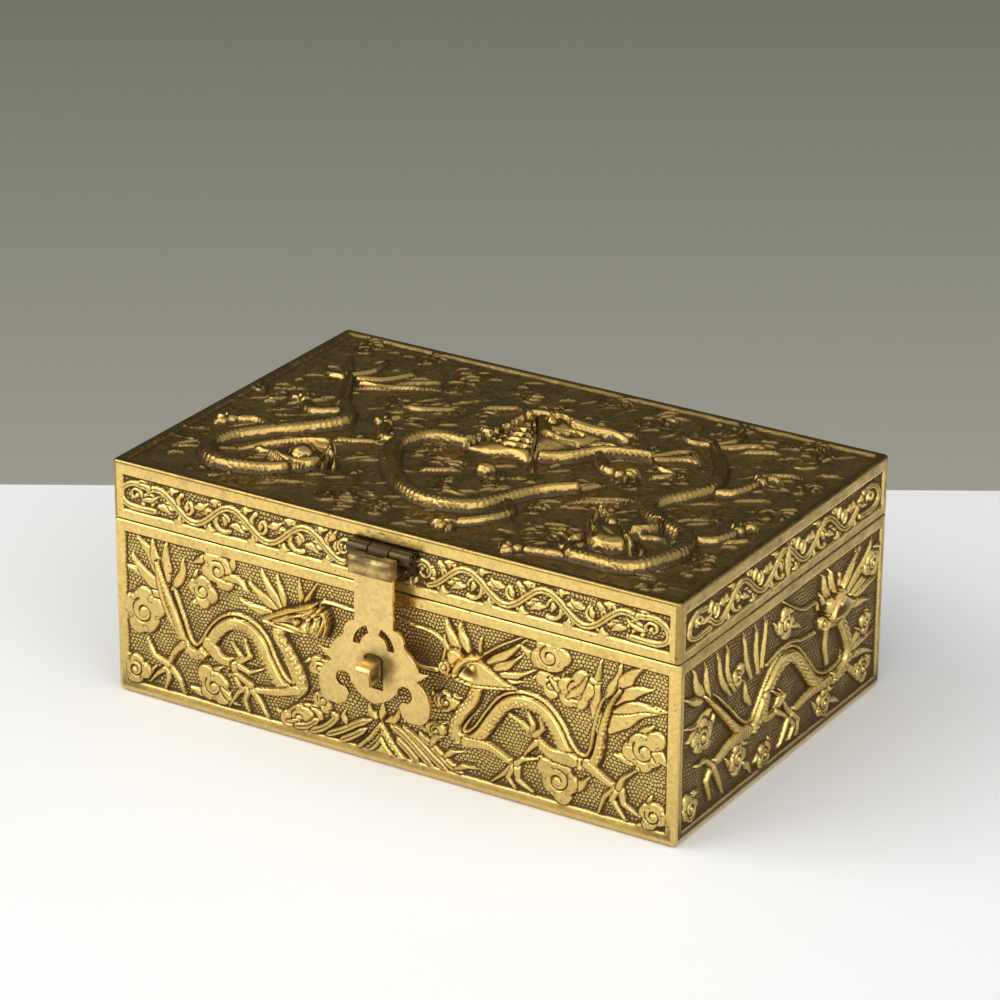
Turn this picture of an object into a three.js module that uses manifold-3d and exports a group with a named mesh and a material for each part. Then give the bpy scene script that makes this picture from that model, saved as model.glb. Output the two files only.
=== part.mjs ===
import * as THREE from 'three';
import { mergeVertices } from 'three/addons/utils/BufferGeometryUtils.js';
import Module from 'manifold-3d';

const wasm = await Module();
wasm.setup();

// Sizes are in millimetres. X runs along the box, Y from the hasp side to the back, Z up from the underside.

// The box and its walls
const BOX_LENGTH = 165;
const BOX_DEPTH = 108;
const BOX_HEIGHT = 65;
const SEAM_HEIGHT = 48.9;
const SEAM_GAP = 0.3;
const WALL = 3.2;
const FLOOR = 2.6;
const LID_TOP = 2.8;
const CORNER_RADIUS = 1.2;
const CAVITY_RADIUS = 2.4;
const FOOT_ROUND = 2;
const LID_ROUND = 0.8;

// Borders around the sunk fields, and how deep the fields lie
const FIELD_DEPTH = 0.9;
const TOP_FIELD_DEPTH = 0.8;
const CORNER_BORDER = 3;
const FOOT_BORDER = 3.8;
const RIM_BORDER = 3.1;
const LID_LOWER_BORDER = 2.7;
const LID_UPPER_BORDER = 3.8;
const TOP_BORDER = 2.6;

// Hasp: a folded head on the hinge, a strap down the front and a pierced plate over the staple
const HASP_X = -0.2;
const HASP_THICKNESS = 1.2;
const HASP_OUT = 5.5;
const STRAP_WIDTH = 11.3;
const PLATE_TOP_Z = 40;
const HEAD_WIDTH = 12.5;
const HEAD_BOTTOM_Z = 54.7;
const HEAD_OUT = 8;
const HEAD_BEVEL = 0.9;
const PLATE_WIDTH = 33;
const PLATE_HEIGHT = 22.8;
const SLOT_CLEARANCE = 0.6;

// Staple that the plate drops over
const STAPLE_Z = 29.4;
const STAPLE_WIDTH = 4.3;
const STAPLE_HEIGHT = 5.3;
const STAPLE_OUT = 11;
const STAPLE_EYE_HEIGHT = 3;
const STAPLE_BAR = 1.4;

// Hinges: one barrel size in front for the hasp, one behind for the lid
const HASP_HINGE_Z = 59.4;
const HASP_HINGE_OUT = 1.9;
const HASP_HINGE_LENGTH = 18.4;
const HASP_KNUCKLE_RADIUS = 1.8;
const HASP_LEAF_THICKNESS = 0.9;
const HASP_LEAF_BOTTOM_Z = 55.2;
const LID_HINGE_FROM_END = 36.5;
const LID_HINGE_LENGTH = 24;
const LID_KNUCKLE_RADIUS = 2;
const LID_LEAF_HEIGHT = 10;
const LID_LEAF_THICKNESS = 1;
const PIN_RADIUS = 0.8;
const PIN_CLEARANCE = 0.3;
const FIT_GAP = 0.3;

// Carving: the faces the figures are drawn on, and how far the forms stand out of the sunk ground
const DRAWN_LENGTH = 165;
const DRAWN_DEPTH = 108;
const DRAWN_BASE_HEIGHT = 48.9;
const DRAWN_LID_HEIGHT = 16.1;
const ROOT_SINK = 0.35;
const BODY_RISE = 2;
const LEG_RISE = 1.6;
const LEAF_RISE = 1.3;
const CLOUD_RISE = 1.5;
const SCROLL_RISE = 1;
const TOP_BODY_RISE = 2.6;

// Heights and planes that follow from the sizes above
const RIM_Z = SEAM_HEIGHT - SEAM_GAP / 2;
const LID_Z = SEAM_HEIGHT + SEAM_GAP / 2;
const FRONT_Y = -BOX_DEPTH / 2;
const BACK_Y = BOX_DEPTH / 2;
const END_X = BOX_LENGTH / 2;
const BORE_RADIUS = PIN_RADIUS + PIN_CLEARANCE;
const LID_HINGE_X = END_X - LID_HINGE_FROM_END;
const LID_HINGE_Y = BACK_Y + LID_KNUCKLE_RADIUS + FIT_GAP;
const FAR = 10;

// Closed meshes

function solidFrom(geometry) {
  const bare = geometry.index ? geometry.toNonIndexed() : geometry.clone();
  bare.deleteAttribute('normal');
  bare.deleteAttribute('uv');
  const merged = mergeVertices(bare, 1e-4);
  return new wasm.Manifold(new wasm.Mesh({
    numProp: 3,
    vertProperties: new Float32Array(merged.attributes.position.array),
    triVerts: new Uint32Array(merged.index.array),
  }));
}

function signedVolume(points, faces) {
  return faces.reduce((sum, [a, b, c]) => (
    sum + points[a].dot(new THREE.Vector3().crossVectors(points[b], points[c])) / 6
  ), 0);
}

// A skin over a row of rings. A ring of one point closes that end to a tip.
function loft(rings) {
  const points = rings.flat();
  const starts = [];
  let count = 0;
  for (const ring of rings) {
    starts.push(count);
    count += ring.length;
  }
  const faces = [];
  for (let i = 0; i + 1 < rings.length; i += 1) {
    const [a, b] = [rings[i].length, rings[i + 1].length];
    const around = Math.max(a, b);
    for (let j = 0; j < around; j += 1) {
      const k = (j + 1) % around;
      if (b > 1) faces.push([starts[i] + (a > 1 ? j : 0), starts[i + 1] + k, starts[i + 1] + j]);
      if (a > 1) faces.push([starts[i] + j, starts[i] + k, starts[i + 1] + (b > 1 ? k : 0)]);
    }
  }
  const last = rings.length - 1;
  for (let j = 1; j + 1 < rings[0].length; j += 1) faces.push([0, j + 1, j].map((n) => starts[0] + n));
  for (let j = 1; j + 1 < rings[last].length; j += 1) faces.push([0, j, j + 1].map((n) => starts[last] + n));
  const outward = signedVolume(points, faces) > 0 ? faces : faces.map(([a, b, c]) => [a, c, b]);
  const geometry = new THREE.BufferGeometry().setFromPoints(points);
  geometry.setIndex(outward.flat());
  return geometry;
}

function block([x0, x1], [y0, y1], [z0, z1]) {
  const geometry = new THREE.BoxGeometry(x1 - x0, y1 - y0, z1 - z0);
  geometry.translate((x0 + x1) / 2, (y0 + y1) / 2, (z0 + z1) / 2);
  return solidFrom(geometry);
}

// A cylinder along X
function rod(radius, [x0, x1], y, z, sides = 8) {
  const geometry = new THREE.CylinderGeometry(radius, radius, x1 - x0, sides);
  geometry.rotateZ(Math.PI / 2);
  geometry.translate((x0 + x1) / 2, y, z);
  return solidFrom(geometry);
}

function joined(parts) {
  return parts.reduce((whole, part) => whole.add(part));
}

function without(whole, parts) {
  return parts.reduce((rest, part) => rest.subtract(part), whole);
}

// A rounded rectangle at a height, drawn in by an inset
function roundedRing(z, inset, radius) {
  const steps = 2;
  const halfX = END_X - inset;
  const halfY = BACK_Y - inset;
  const corner = Math.max(radius - inset, 0.4);
  const ring = [];
  for (let quarter = 0; quarter < 4; quarter += 1) {
    const signX = quarter === 0 || quarter === 3 ? 1 : -1;
    const signY = quarter < 2 ? 1 : -1;
    for (let i = 0; i <= steps; i += 1) {
      const angle = (quarter + i / steps) * Math.PI / 2;
      ring.push(new THREE.Vector3(
        signX * (halfX - corner) + corner * Math.cos(angle),
        signY * (halfY - corner) + corner * Math.sin(angle),
        z,
      ));
    }
  }
  return ring;
}

// An upright block whose lower or upper edge is rounded
function roundedBlock(z0, z1, lowerRound, upperRound) {
  const steps = 2;
  const rings = [];
  for (let i = 0; i <= steps; i += 1) {
    const angle = i / steps * Math.PI / 2;
    if (lowerRound > 0) {
      rings.push([z0 + lowerRound * (1 - Math.cos(angle)), lowerRound * (1 - Math.sin(angle))]);
    }
  }
  if (lowerRound === 0) rings.push([z0, 0]);
  if (upperRound === 0) rings.push([z1, 0]);
  for (let i = 0; i <= steps; i += 1) {
    const angle = i / steps * Math.PI / 2;
    if (upperRound > 0) {
      rings.push([z1 - upperRound * (1 - Math.sin(angle)), upperRound * (1 - Math.cos(angle))]);
    }
  }
  return solidFrom(loft(rings.map(([z, inset]) => roundedRing(z, inset, CORNER_RADIUS))));
}

function cavity(z0, z1) {
  return solidFrom(loft([z0, z1].map((z) => roundedRing(z, WALL, WALL + CAVITY_RADIUS))));
}

// The faces that carry figures. On each, u runs to the right and v up as seen from outside, and w stands
// out of the sunk ground. Figures are drawn on a face of the drawn size and stretch with the real one.

function makeFace({ origin, right, up, stretchU, stretchV }) {
  const out = new THREE.Vector3().crossVectors(right, up);
  const matrix = new THREE.Matrix4().makeBasis(right, up, out).setPosition(origin);
  return {
    width: Math.min(stretchU, stretchV),
    place: (u, v, w) => new THREE.Vector3(u * stretchU, v * stretchV, w).applyMatrix4(matrix),
  };
}

const UP = new THREE.Vector3(0, 0, 1);
const ACROSS = new THREE.Vector3(1, 0, 0);
const BACKWARD = new THREE.Vector3(0, 1, 0);
const LENGTH_STRETCH = BOX_LENGTH / DRAWN_LENGTH;
const DEPTH_STRETCH = BOX_DEPTH / DRAWN_DEPTH;

function sideFaces(z, stretchV) {
  const side = (origin, right, stretchU) => makeFace({ origin, right, up: UP, stretchU, stretchV });
  return {
    front: side(new THREE.Vector3(0, FRONT_Y + FIELD_DEPTH, z), ACROSS, LENGTH_STRETCH),
    back: side(new THREE.Vector3(0, BACK_Y - FIELD_DEPTH, z), ACROSS.clone().negate(), LENGTH_STRETCH),
    right: side(new THREE.Vector3(END_X - FIELD_DEPTH, 0, z), BACKWARD, DEPTH_STRETCH),
    left: side(new THREE.Vector3(FIELD_DEPTH - END_X, 0, z), BACKWARD.clone().negate(), DEPTH_STRETCH),
  };
}

const baseFaces = sideFaces(0, SEAM_HEIGHT / DRAWN_BASE_HEIGHT);
const lidFaces = sideFaces(SEAM_HEIGHT, (BOX_HEIGHT - SEAM_HEIGHT) / DRAWN_LID_HEIGHT);
const topFace = makeFace({
  origin: new THREE.Vector3(0, 0, BOX_HEIGHT - TOP_FIELD_DEPTH),
  right: ACROSS,
  up: BACKWARD,
  stretchU: LENGTH_STRETCH,
  stretchV: DEPTH_STRETCH,
});

// Carved forms

const ROUND_SECTION = [[-1, 0], [-0.72, 0.72], [0, 1], [0.72, 0.72], [1, 0]];
const FLAT_SECTION = [[-1, 0], [-0.5, 1], [0.5, 1], [1, 0]];
const SHARP_SECTION = [[-1, 0], [0, 1], [1, 0]];

// A raised band along a spline. Its width at a share t of its length is width times swell(t).
function band(face, points, { width, rise, steps, swell, section = FLAT_SECTION }) {
  const curve = new THREE.SplineCurve(points.map(([u, v]) => new THREE.Vector2(u, v)));
  const rings = [];
  for (let i = 0; i <= steps; i += 1) {
    const t = i / steps;
    const centre = curve.getPointAt(t);
    const along = curve.getTangentAt(t);
    const half = width * face.width * swell(t) / 2;
    const top = rise * (0.35 + 0.65 * Math.min(1, swell(t)));
    const ring = section.map(([across, height]) => face.place(
      centre.x - along.y * across * half,
      centre.y + along.x * across * half,
      height * (top + ROOT_SINK) - ROOT_SINK,
    ));
    rings.push(half < 0.02 ? [face.place(centre.x, centre.y, -ROOT_SINK)] : ring);
  }
  return solidFrom(loft(rings));
}

// Widths along a band: thin at the start, thick in the middle and thin at the end, or a leaf with a point
const bodySwell = (t) => 0.3 + 0.7 * Math.min(1, t * 3);
const limbSwell = (t) => 1 - 0.45 * t;
const leafSwell = (t) => (t < 1 ? 0.5 + t : 0);
const evenSwell = () => 1;

function leaf(face, root, tip, width, bend = 0, rise = LEAF_RISE) {
  const [du, dv] = [tip[0] - root[0], tip[1] - root[1]];
  const middle = [root[0] + du / 2 - dv * bend, root[1] + dv / 2 + du * bend];
  return band(face, [root, middle, tip], {
    width, rise, steps: 2, swell: leafSwell, section: SHARP_SECTION,
  });
}

// Leaves spread in a fan: from a root, each with its angle in degrees and its length
function fan(face, [u, v], { angles, length, width, bend, rise }) {
  return angles.map((degrees) => {
    const angle = THREE.MathUtils.degToRad(degrees);
    const tip = [u + length * Math.cos(angle), v + length * Math.sin(angle)];
    return leaf(face, [u, v], tip, width, bend, rise);
  });
}

function dome(face, [u, v], radius, rise, sides = 5) {
  const ring = (share, w) => Array.from({ length: sides }, (_, i) => {
    const angle = i / sides * Math.PI * 2;
    return face.place(u + radius * share * Math.cos(angle), v + radius * share * Math.sin(angle), w);
  });
  return solidFrom(loft([ring(1, -ROOT_SINK), ring(0.55, rise)]));
}

// A spiral band that winds in to its centre
function curl(face, [u, v], { radius, start, turns, width, rise, steps }) {
  const points = Array.from({ length: steps + 1 }, (_, i) => {
    const t = i / steps;
    const angle = THREE.MathUtils.degToRad(start) + turns * t * Math.PI * 2;
    const r = radius * (1 - 0.72 * t);
    return [u + r * Math.cos(angle), v + r * Math.sin(angle)];
  });
  return band(face, points, { width, rise, steps, swell: (t) => 1 - 0.35 * t, section: SHARP_SECTION });
}

// A cloud: a curled heart with smaller curls trailing to one side
function cloud(face, [u, v], radius, side, tail = 0) {
  const parts = [curl(face, [u, v], {
    radius, start: side > 0 ? 200 : -20, turns: -1.1 * side, width: radius * 0.55, rise: CLOUD_RISE, steps: 4,
  })];
  if (tail > 0) {
    const end = [u + side * tail, v - radius * 0.9];
    parts.push(leaf(face, [u, v - radius * 0.5], end, radius * 0.6, 0.15));
  }
  return parts;
}

function leg(face, points, width, clawAngles) {
  const foot = points[points.length - 1];
  return [
    band(face, points, { width, rise: LEG_RISE, steps: 2, swell: limbSwell, section: SHARP_SECTION }),
    ...fan(face, foot, {
      angles: clawAngles, length: width * 1.75, width: width * 0.5, bend: 0, rise: LEG_RISE,
    }),
  ];
}

// A dragon's head seen from the side: brow and snout, open jaw, horns, and a mane of leaves behind.
// facing is +1 for a snout to the right and -1 for one to the left.
function sideHead(face, [u, v], size, facing, rise) {
  const at = (along, above) => [u + facing * size * along, v + size * above];
  const turn = (degrees) => (facing > 0 ? degrees : 180 - degrees);
  return [
    band(face, [at(-0.55, 0), at(0, 0.16), at(0.55, 0.1), at(0.95, 0.3)], {
      width: size * 0.62,
      rise: rise * 1.3,
      steps: 3,
      swell: (t) => 0.75 + 0.5 * Math.sin(t * Math.PI) * (1 - t),
    }),
    band(face, [at(-0.3, -0.25), at(0.2, -0.52), at(0.7, -0.45), at(0.88, -0.22)], {
      width: size * 0.26, rise, steps: 2, swell: limbSwell, section: SHARP_SECTION,
    }),
    ...fan(face, at(-0.35, 0.2), {
      angles: [102, 142, 182].map(turn), length: size * 1.05, width: size * 0.3, bend: 0.18 * facing,
    }),
  ];
}

// A dragon along a spine drawn from tail to head, with legs, a flaming tail and one head
function dragon(face, { spine, width, steps, head, headSize, facing, legs, tailFlames, clawed = true }) {
  return [
    band(face, spine, { width, rise: BODY_RISE, steps, swell: bodySwell }),
    ...sideHead(face, head, headSize, facing, BODY_RISE),
    ...legs.flatMap(({ path, claws }) => leg(face, path, width * 0.8, clawed ? claws : [])),
    ...fan(face, spine[0], { angles: tailFlames, length: width * 2, width: width * 0.6, bend: 0.15 }),
  ];
}

// Vine scroll: a band that waves along the face between two curls, with a curl and a leaf in each pocket
function vineScroll(face, from, to, { low, high, pockets, leafy = true }) {
  const middle = (low + high) / 2;
  const swing = (high - low) / 2;
  const pitch = (to - from) / pockets;
  const steps = pockets * (leafy ? 3 : 2);
  const points = Array.from({ length: steps + 1 }, (_, i) => {
    const t = i / steps;
    return [from + (to - from) * t, middle + swing * Math.sin(t * pockets * Math.PI)];
  });
  const parts = [band(face, points, {
    width: 1.5, rise: SCROLL_RISE, steps, swell: evenSwell, section: SHARP_SECTION,
  })];
  for (let i = 0; leafy && i < pockets; i += 1) {
    const side = i % 2 === 0 ? -1 : 1;
    const u = from + pitch * (i + 0.5);
    const root = [u - pitch * 0.28, middle + side * swing];
    parts.push(leaf(face, root, [u + pitch * 0.34, middle], 3, -0.35 * side, SCROLL_RISE));
  }
  return parts;
}

// Figures on the base

const FRONT_DRAGONS = [
  {
    spine: [
      [-68, 39], [-64, 29], [-61, 18.5], [-55, 18], [-50.5, 25], [-44, 28.6], [-37.5, 26.5],
      [-33.8, 18], [-28.5, 14], [-25.5, 18.5], [-29.5, 25], [-29.5, 32],
    ],
    width: 3.6,
    steps: 14,
    head: [-29, 34],
    headSize: 9.5,
    facing: 1,
    legs: [
      { path: [[-61, 18], [-65, 14], [-68, 9]], claws: [190, 240, 290] },
      { path: [[-50, 23], [-46, 17.5], [-40.5, 20]], claws: [-30, 40, 110] },
      { path: [[-27, 14.5], [-34, 12], [-40.5, 9.5]], claws: [165, 220, 290] },
    ],
    tailFlames: [70, 130],
  },
  {
    spine: [
      [67, 38.5], [61.5, 29], [60.5, 19.5], [56, 16.8], [50.5, 20], [46.5, 27], [40, 29], [32.5, 26.5],
      [27.5, 18.5], [22.5, 14.2], [21.5, 19], [26, 26], [28.5, 31],
    ],
    width: 3.6,
    steps: 14,
    head: [27.5, 32.5],
    headSize: 9,
    facing: -1,
    legs: [
      { path: [[28, 16], [33, 12], [38, 9]], claws: [200, 255, 310] },
      { path: [[52, 18], [46, 17], [41.5, 20.5]], claws: [60, 130, 190] },
      { path: [[59, 17], [63, 13.5], [67.5, 10.5]], claws: [230, 285, 340] },
    ],
    tailFlames: [50, 105],
  },
];

const END_DRAGON = {
  spine: [
    [-42, 36], [-30, 25], [-22, 18.5], [-15, 17], [-9.5, 23], [-4, 29.5], [3, 29.5], [11, 22],
    [19, 15], [28, 13.5], [34, 16], [32, 23], [28, 30],
  ],
  width: 3.8,
  steps: 14,
  head: [27, 33],
  headSize: 9,
  facing: -1,
  legs: [
    { path: [[-20, 17.5], [-28, 14], [-34, 10]], claws: [170, 225, 280] },
    { path: [[10, 23], [4, 18], [-1, 14]], claws: [180, 240, 300] },
    { path: [[31, 14], [34, 10], [38, 8]], claws: [220, 290, 350] },
  ],
  tailFlames: [85, 140],
};

function frontFigures(face) {
  return [
    ...FRONT_DRAGONS.flatMap((figure) => dragon(face, figure)),
    ...cloud(face, [-74, 23], 4.4, 1),
    ...cloud(face, [-51, 41], 3.2, 1, 9),
    ...cloud(face, [-53.5, 8], 3.4, 1, 7),
    ...cloud(face, [-76, 7.6], 2.8, 1),
    ...cloud(face, [-25, 7], 3, -1),
    ...cloud(face, [48, 40], 3.4, -1, 7),
    ...cloud(face, [73, 23], 4.4, -1),
    ...cloud(face, [50, 9.4], 3.8, -1, 7),
    ...cloud(face, [75.5, 7.4], 2.8, -1),
    ...mountain(face, [-1.5, 4], 9, 8.5),
  ];
}

// A peak of nested chevrons with long waves lapping on both sides
function mountain(face, [u, v], halfWidth, height) {
  const chevron = (share) => band(
    face,
    [[u - halfWidth * share, v], [u, v + height * share], [u + halfWidth * share, v]],
    { width: 1.5, rise: LEAF_RISE, steps: 2, swell: evenSwell, section: SHARP_SECTION },
  );
  const wave = (side, above) => {
    const crest = [u + side * halfWidth * 1.05, v + above];
    return leaf(face, crest, [u + side * halfWidth * 2.1, v + above * 0.4], 2.2, -0.2 * side);
  };
  return [chevron(1), chevron(0.55), wave(-1, 4), wave(1, 4), wave(-1, 1), wave(1, 1)];
}

function rightEndFigures(face) {
  return [
    ...dragon(face, END_DRAGON),
    ...cloud(face, [-43, 21], 3.4, 1),
    ...cloud(face, [-47, 8.5], 3, 1),
    ...cloud(face, [-22, 9], 3, 1, 7),
    ...cloud(face, [20, 7.5], 2.8, -1),
    ...cloud(face, [44, 22], 3.4, -1),
    ...cloud(face, [2, 40], 3, -1, 7),
    ...fan(face, [-14, 28], { angles: [84, 104, 124], length: 14, width: 3, bend: 0.06 }),
  ];
}

// The left end is quieter and has the dragon alone
function leftEndFigures(face) {
  return dragon(face, { ...END_DRAGON, steps: 12, clawed: false });
}

// The back is quieter: the same two dragons face a flaming pearl
function backFigures(face) {
  const plainer = { steps: 12, clawed: false, tailFlames: [90] };
  return [
    ...FRONT_DRAGONS.flatMap((figure) => dragon(face, { ...figure, ...plainer })),
    dome(face, [0, 28], 4.6, CLOUD_RISE, 8),
    ...fan(face, [0, 29], { angles: [55, 90, 125], length: 12, width: 3.2, bend: 0.12 }),
  ];
}

// Figures on the lid top: one dragon in the middle with its head to the front, and one at each end

const TOP_MIDDLE_SPINE = [
  [33, 19], [21, 14.5], [12, 6.5], [-2, 3.6], [-17, 3.4], [-25, -2.5], [-25, -13], [-18, -22.5],
  [-9, -30], [0.5, -33], [9.5, -30], [14.5, -22.5], [20, -14], [26.5, -8],
];
const TOP_LEFT_SPINE = [
  [-62.5, 25], [-55.5, 12], [-48.5, 4], [-47, -3.5], [-53, -12], [-60.5, -19.5], [-66, -28],
  [-65, -38], [-57, -41.5], [-46, -39.5], [-41, -33],
];
const TOP_RIGHT_SPINE = [
  [42.2, 35], [49, 26], [53.5, 15], [52.5, 4], [47.5, -6], [52, -14], [62.5, -18], [67.5, -27],
  [64, -38], [55, -43], [46, -42], [44, -34],
];

// The high head of the middle dragon, looking to the front: snout, brows, horns, mane and whiskers
function frontHead(face, [u, v]) {
  const high = TOP_BODY_RISE * 2.6;
  // A leaf on each side: root and tip as distances from the middle and from the head's own centre
  const leaves = (root, tip, width, bend, share) => [-1, 1].map((side) => {
    const [from, to] = [root, tip].map(([across, above]) => [u + side * across, v + above]);
    return leaf(face, from, to, width, bend * side, high * share);
  });
  return [
    band(face, [[u, v + 9], [u, v + 3], [u, v - 4], [u, v - 9]], {
      width: 12, rise: high, steps: 4, swell: (t) => 0.8 - 0.35 * t + 0.25 * Math.sin(t * Math.PI),
    }),
    dome(face, [u, v - 8.5], 4.2, high * 0.8, 8),
    ...[-1, 1].map((side) => dome(face, [u + side * 5, v + 3.5], 2.6, high * 0.95)),
    ...leaves([4, 8], [11, 19], 4, 0.2, 0.6),
    ...leaves([6, 2], [16, 6], 4.4, -0.2, 0.5),
    ...leaves([5, -5], [11, -16], 2.6, 0.15, 0.4),
    ...leaves([1.5, 9], [3, 21], 3.4, 0.1, 0.5),
  ];
}

// A smaller head at an end of the lid, pointing along an angle in degrees
function restingHead(face, [u, v], degrees, size) {
  const high = TOP_BODY_RISE * 2.1;
  const angle = THREE.MathUtils.degToRad(degrees);
  const at = (along, across) => [
    u + size * (along * Math.cos(angle) - across * Math.sin(angle)),
    v + size * (along * Math.sin(angle) + across * Math.cos(angle)),
  ];
  return [
    band(face, [at(-0.7, 0), at(0, 0), at(0.5, 0), at(1, 0.05)], {
      width: size * 0.95, rise: high, steps: 4, swell: (t) => 0.65 + 0.45 * Math.sin(t * Math.PI) * (1 - t),
    }),
    ...[-1, 1].map((side) => dome(face, at(0, side * 0.38), size * 0.2, high * 0.95, 7)),
    ...[-1, 1].flatMap((side) => [
      leaf(face, at(-0.4, side * 0.3), at(-1.5, side * 0.75), size * 0.28, 0.2 * side, high * 0.6),
      leaf(face, at(0.5, side * 0.35), at(0.3, side * 1.25), size * 0.2, 0.2, high * 0.4),
    ]),
  ];
}

function topFigures(face) {
  const body = (points, steps) => band(face, points, {
    width: 6,
    rise: TOP_BODY_RISE,
    steps,
    swell: (t) => 0.5 + 0.5 * Math.min(1, 4 * t, 6 * (1.1 - t)),
    section: ROUND_SECTION,
  });
  const limbRise = TOP_BODY_RISE * 0.8;
  const limbForm = { width: 4, rise: limbRise, steps: 2, swell: limbSwell, section: SHARP_SECTION };
  const clawForm = { length: 6, width: 1.9, bend: 0.2, rise: LEG_RISE };
  const limb = (points, claws) => [
    band(face, points, limbForm),
    ...fan(face, points[points.length - 1], { ...clawForm, angles: claws }),
  ];
  return [
    body(TOP_MIDDLE_SPINE, 17),
    body(TOP_LEFT_SPINE, 14),
    body(TOP_RIGHT_SPINE, 15),
    ...frontHead(face, [-2, 15]),
    ...restingHead(face, [-42, -27], 70, 9),
    ...restingHead(face, [46, -28], 110, 9),
    ...limb([[13, -25], [18, -31], [14, -38]], [200, 250, 300]),
    ...limb([[-24, -6], [-33, -3], [-36, 6]], [60, 110, 160]),
    ...limb([[-57, -17], [-66, -12], [-72, -14]], [140, 200, 250]),
    ...limb([[52, 8], [61, 12], [65, 21]], [20, 70, 120]),
    ...limb([[64, -22], [71, -16], [73, -8]], [40, 90, 140]),
    ...cloud(face, [-35, 33], 5, 1, 9),
    ...cloud(face, [-70, -2], 4, 1),
    ...cloud(face, [30, 36], 4.4, -1, 8),
    ...cloud(face, [70, 36], 4.6, -1, 8),
    ...cloud(face, [30, -37], 4.6, 1, 8),
    ...cloud(face, [-22, -41], 4.2, -1, 8),
  ];
}

// Sunk fields. A field is a rectangle on an unstretched face, and its carving is trimmed at its border.

function fieldRoom({ face, u, v }, below) {
  const corners = [[u[0], v[0]], [u[1], v[0]], [u[1], v[1]], [u[0], v[1]]];
  return solidFrom(loft([-below, FAR].map((w) => corners.map(([a, b]) => face.place(a, b, w)))));
}

function sideFields(z0, z1) {
  const halfLength = (END_X - CORNER_BORDER) / LENGTH_STRETCH;
  const halfDepth = (BACK_Y - CORNER_BORDER) / DEPTH_STRETCH;
  const faces = sideFaces(0, 1);
  const field = (face, half) => ({ face, u: [-half, half], v: [z0, z1] });
  return {
    front: field(faces.front, halfLength),
    back: field(faces.back, halfLength),
    right: field(faces.right, halfDepth),
    left: field(faces.left, halfDepth),
  };
}

const baseFields = sideFields(FOOT_BORDER, RIM_Z - RIM_BORDER);
const lidFields = sideFields(LID_Z + LID_LOWER_BORDER, BOX_HEIGHT - LID_UPPER_BORDER);
const topField = {
  face: topFace,
  u: [(TOP_BORDER - END_X) / LENGTH_STRETCH, (END_X - TOP_BORDER) / LENGTH_STRETCH],
  v: [(TOP_BORDER + FRONT_Y) / DEPTH_STRETCH, (BACK_Y - TOP_BORDER) / DEPTH_STRETCH],
};

function trimmed(figures, field) {
  return joined(figures).intersect(fieldRoom(field, ROOT_SINK * 2));
}

function lidHingeLeaf(x, up) {
  const toBarrel = LID_KNUCKLE_RADIUS / 2;
  const z0 = up > 0 ? LID_Z + toBarrel : RIM_Z - LID_LEAF_HEIGHT;
  return {
    x0: x - LID_HINGE_LENGTH / 2,
    x1: x + LID_HINGE_LENGTH / 2,
    z0,
    z1: z0 + LID_LEAF_HEIGHT - toBarrel,
  };
}

// The flat seats that the back hinges lie on
function hingeSeats(up) {
  return [-LID_HINGE_X, LID_HINGE_X].map((x) => {
    const { x0, x1, z0, z1 } = lidHingeLeaf(x, up);
    const seat = block([x0 - 1, x1 + 1], [BACK_Y - FIELD_DEPTH - ROOT_SINK, BACK_Y], [z0 - 1, z1 + 1]);
    const room = block([x0 - 1, x1 + 1], [BACK_Y, BACK_Y + FAR], [z0 - 1, z1 + 1]);
    return { seat, room };
  });
}

function carved(shell, figures, seats, ground) {
  const withSeats = joined([shell, ...figures, ...seats.map(({ seat }) => seat)]);
  return without(withSeats, [...seats.map(({ room }) => room), ...ground]);
}

// Base: an open tray

function baseSolid() {
  const tray = roundedBlock(0, RIM_Z, FOOT_ROUND, 0);
  const pockets = Object.values(baseFields).map((field) => fieldRoom(field, 0));
  const shell = without(tray, [cavity(FLOOR, RIM_Z + FAR), ...pockets]);
  const figures = [
    trimmed(frontFigures(baseFaces.front), baseFields.front),
    trimmed(backFigures(baseFaces.back), baseFields.back),
    trimmed(rightEndFigures(baseFaces.right), baseFields.right),
    trimmed(leftEndFigures(baseFaces.left), baseFields.left),
  ];
  return carved(shell, figures, hingeSeats(-1), [stapleRoom()]);
}

// Room in the front carving for the staple's root
function stapleRoom() {
  const halfWidth = STAPLE_WIDTH / 2 + FIT_GAP;
  const halfHeight = STAPLE_HEIGHT / 2 + FIT_GAP;
  return block(
    [HASP_X - halfWidth, HASP_X + halfWidth],
    [FRONT_Y - FAR, FRONT_Y + FIELD_DEPTH],
    [STAPLE_Z - halfHeight, STAPLE_Z + halfHeight],
  );
}

// Lid: a shallow tray turned over, with a carved top and vine scroll on its sides

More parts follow.
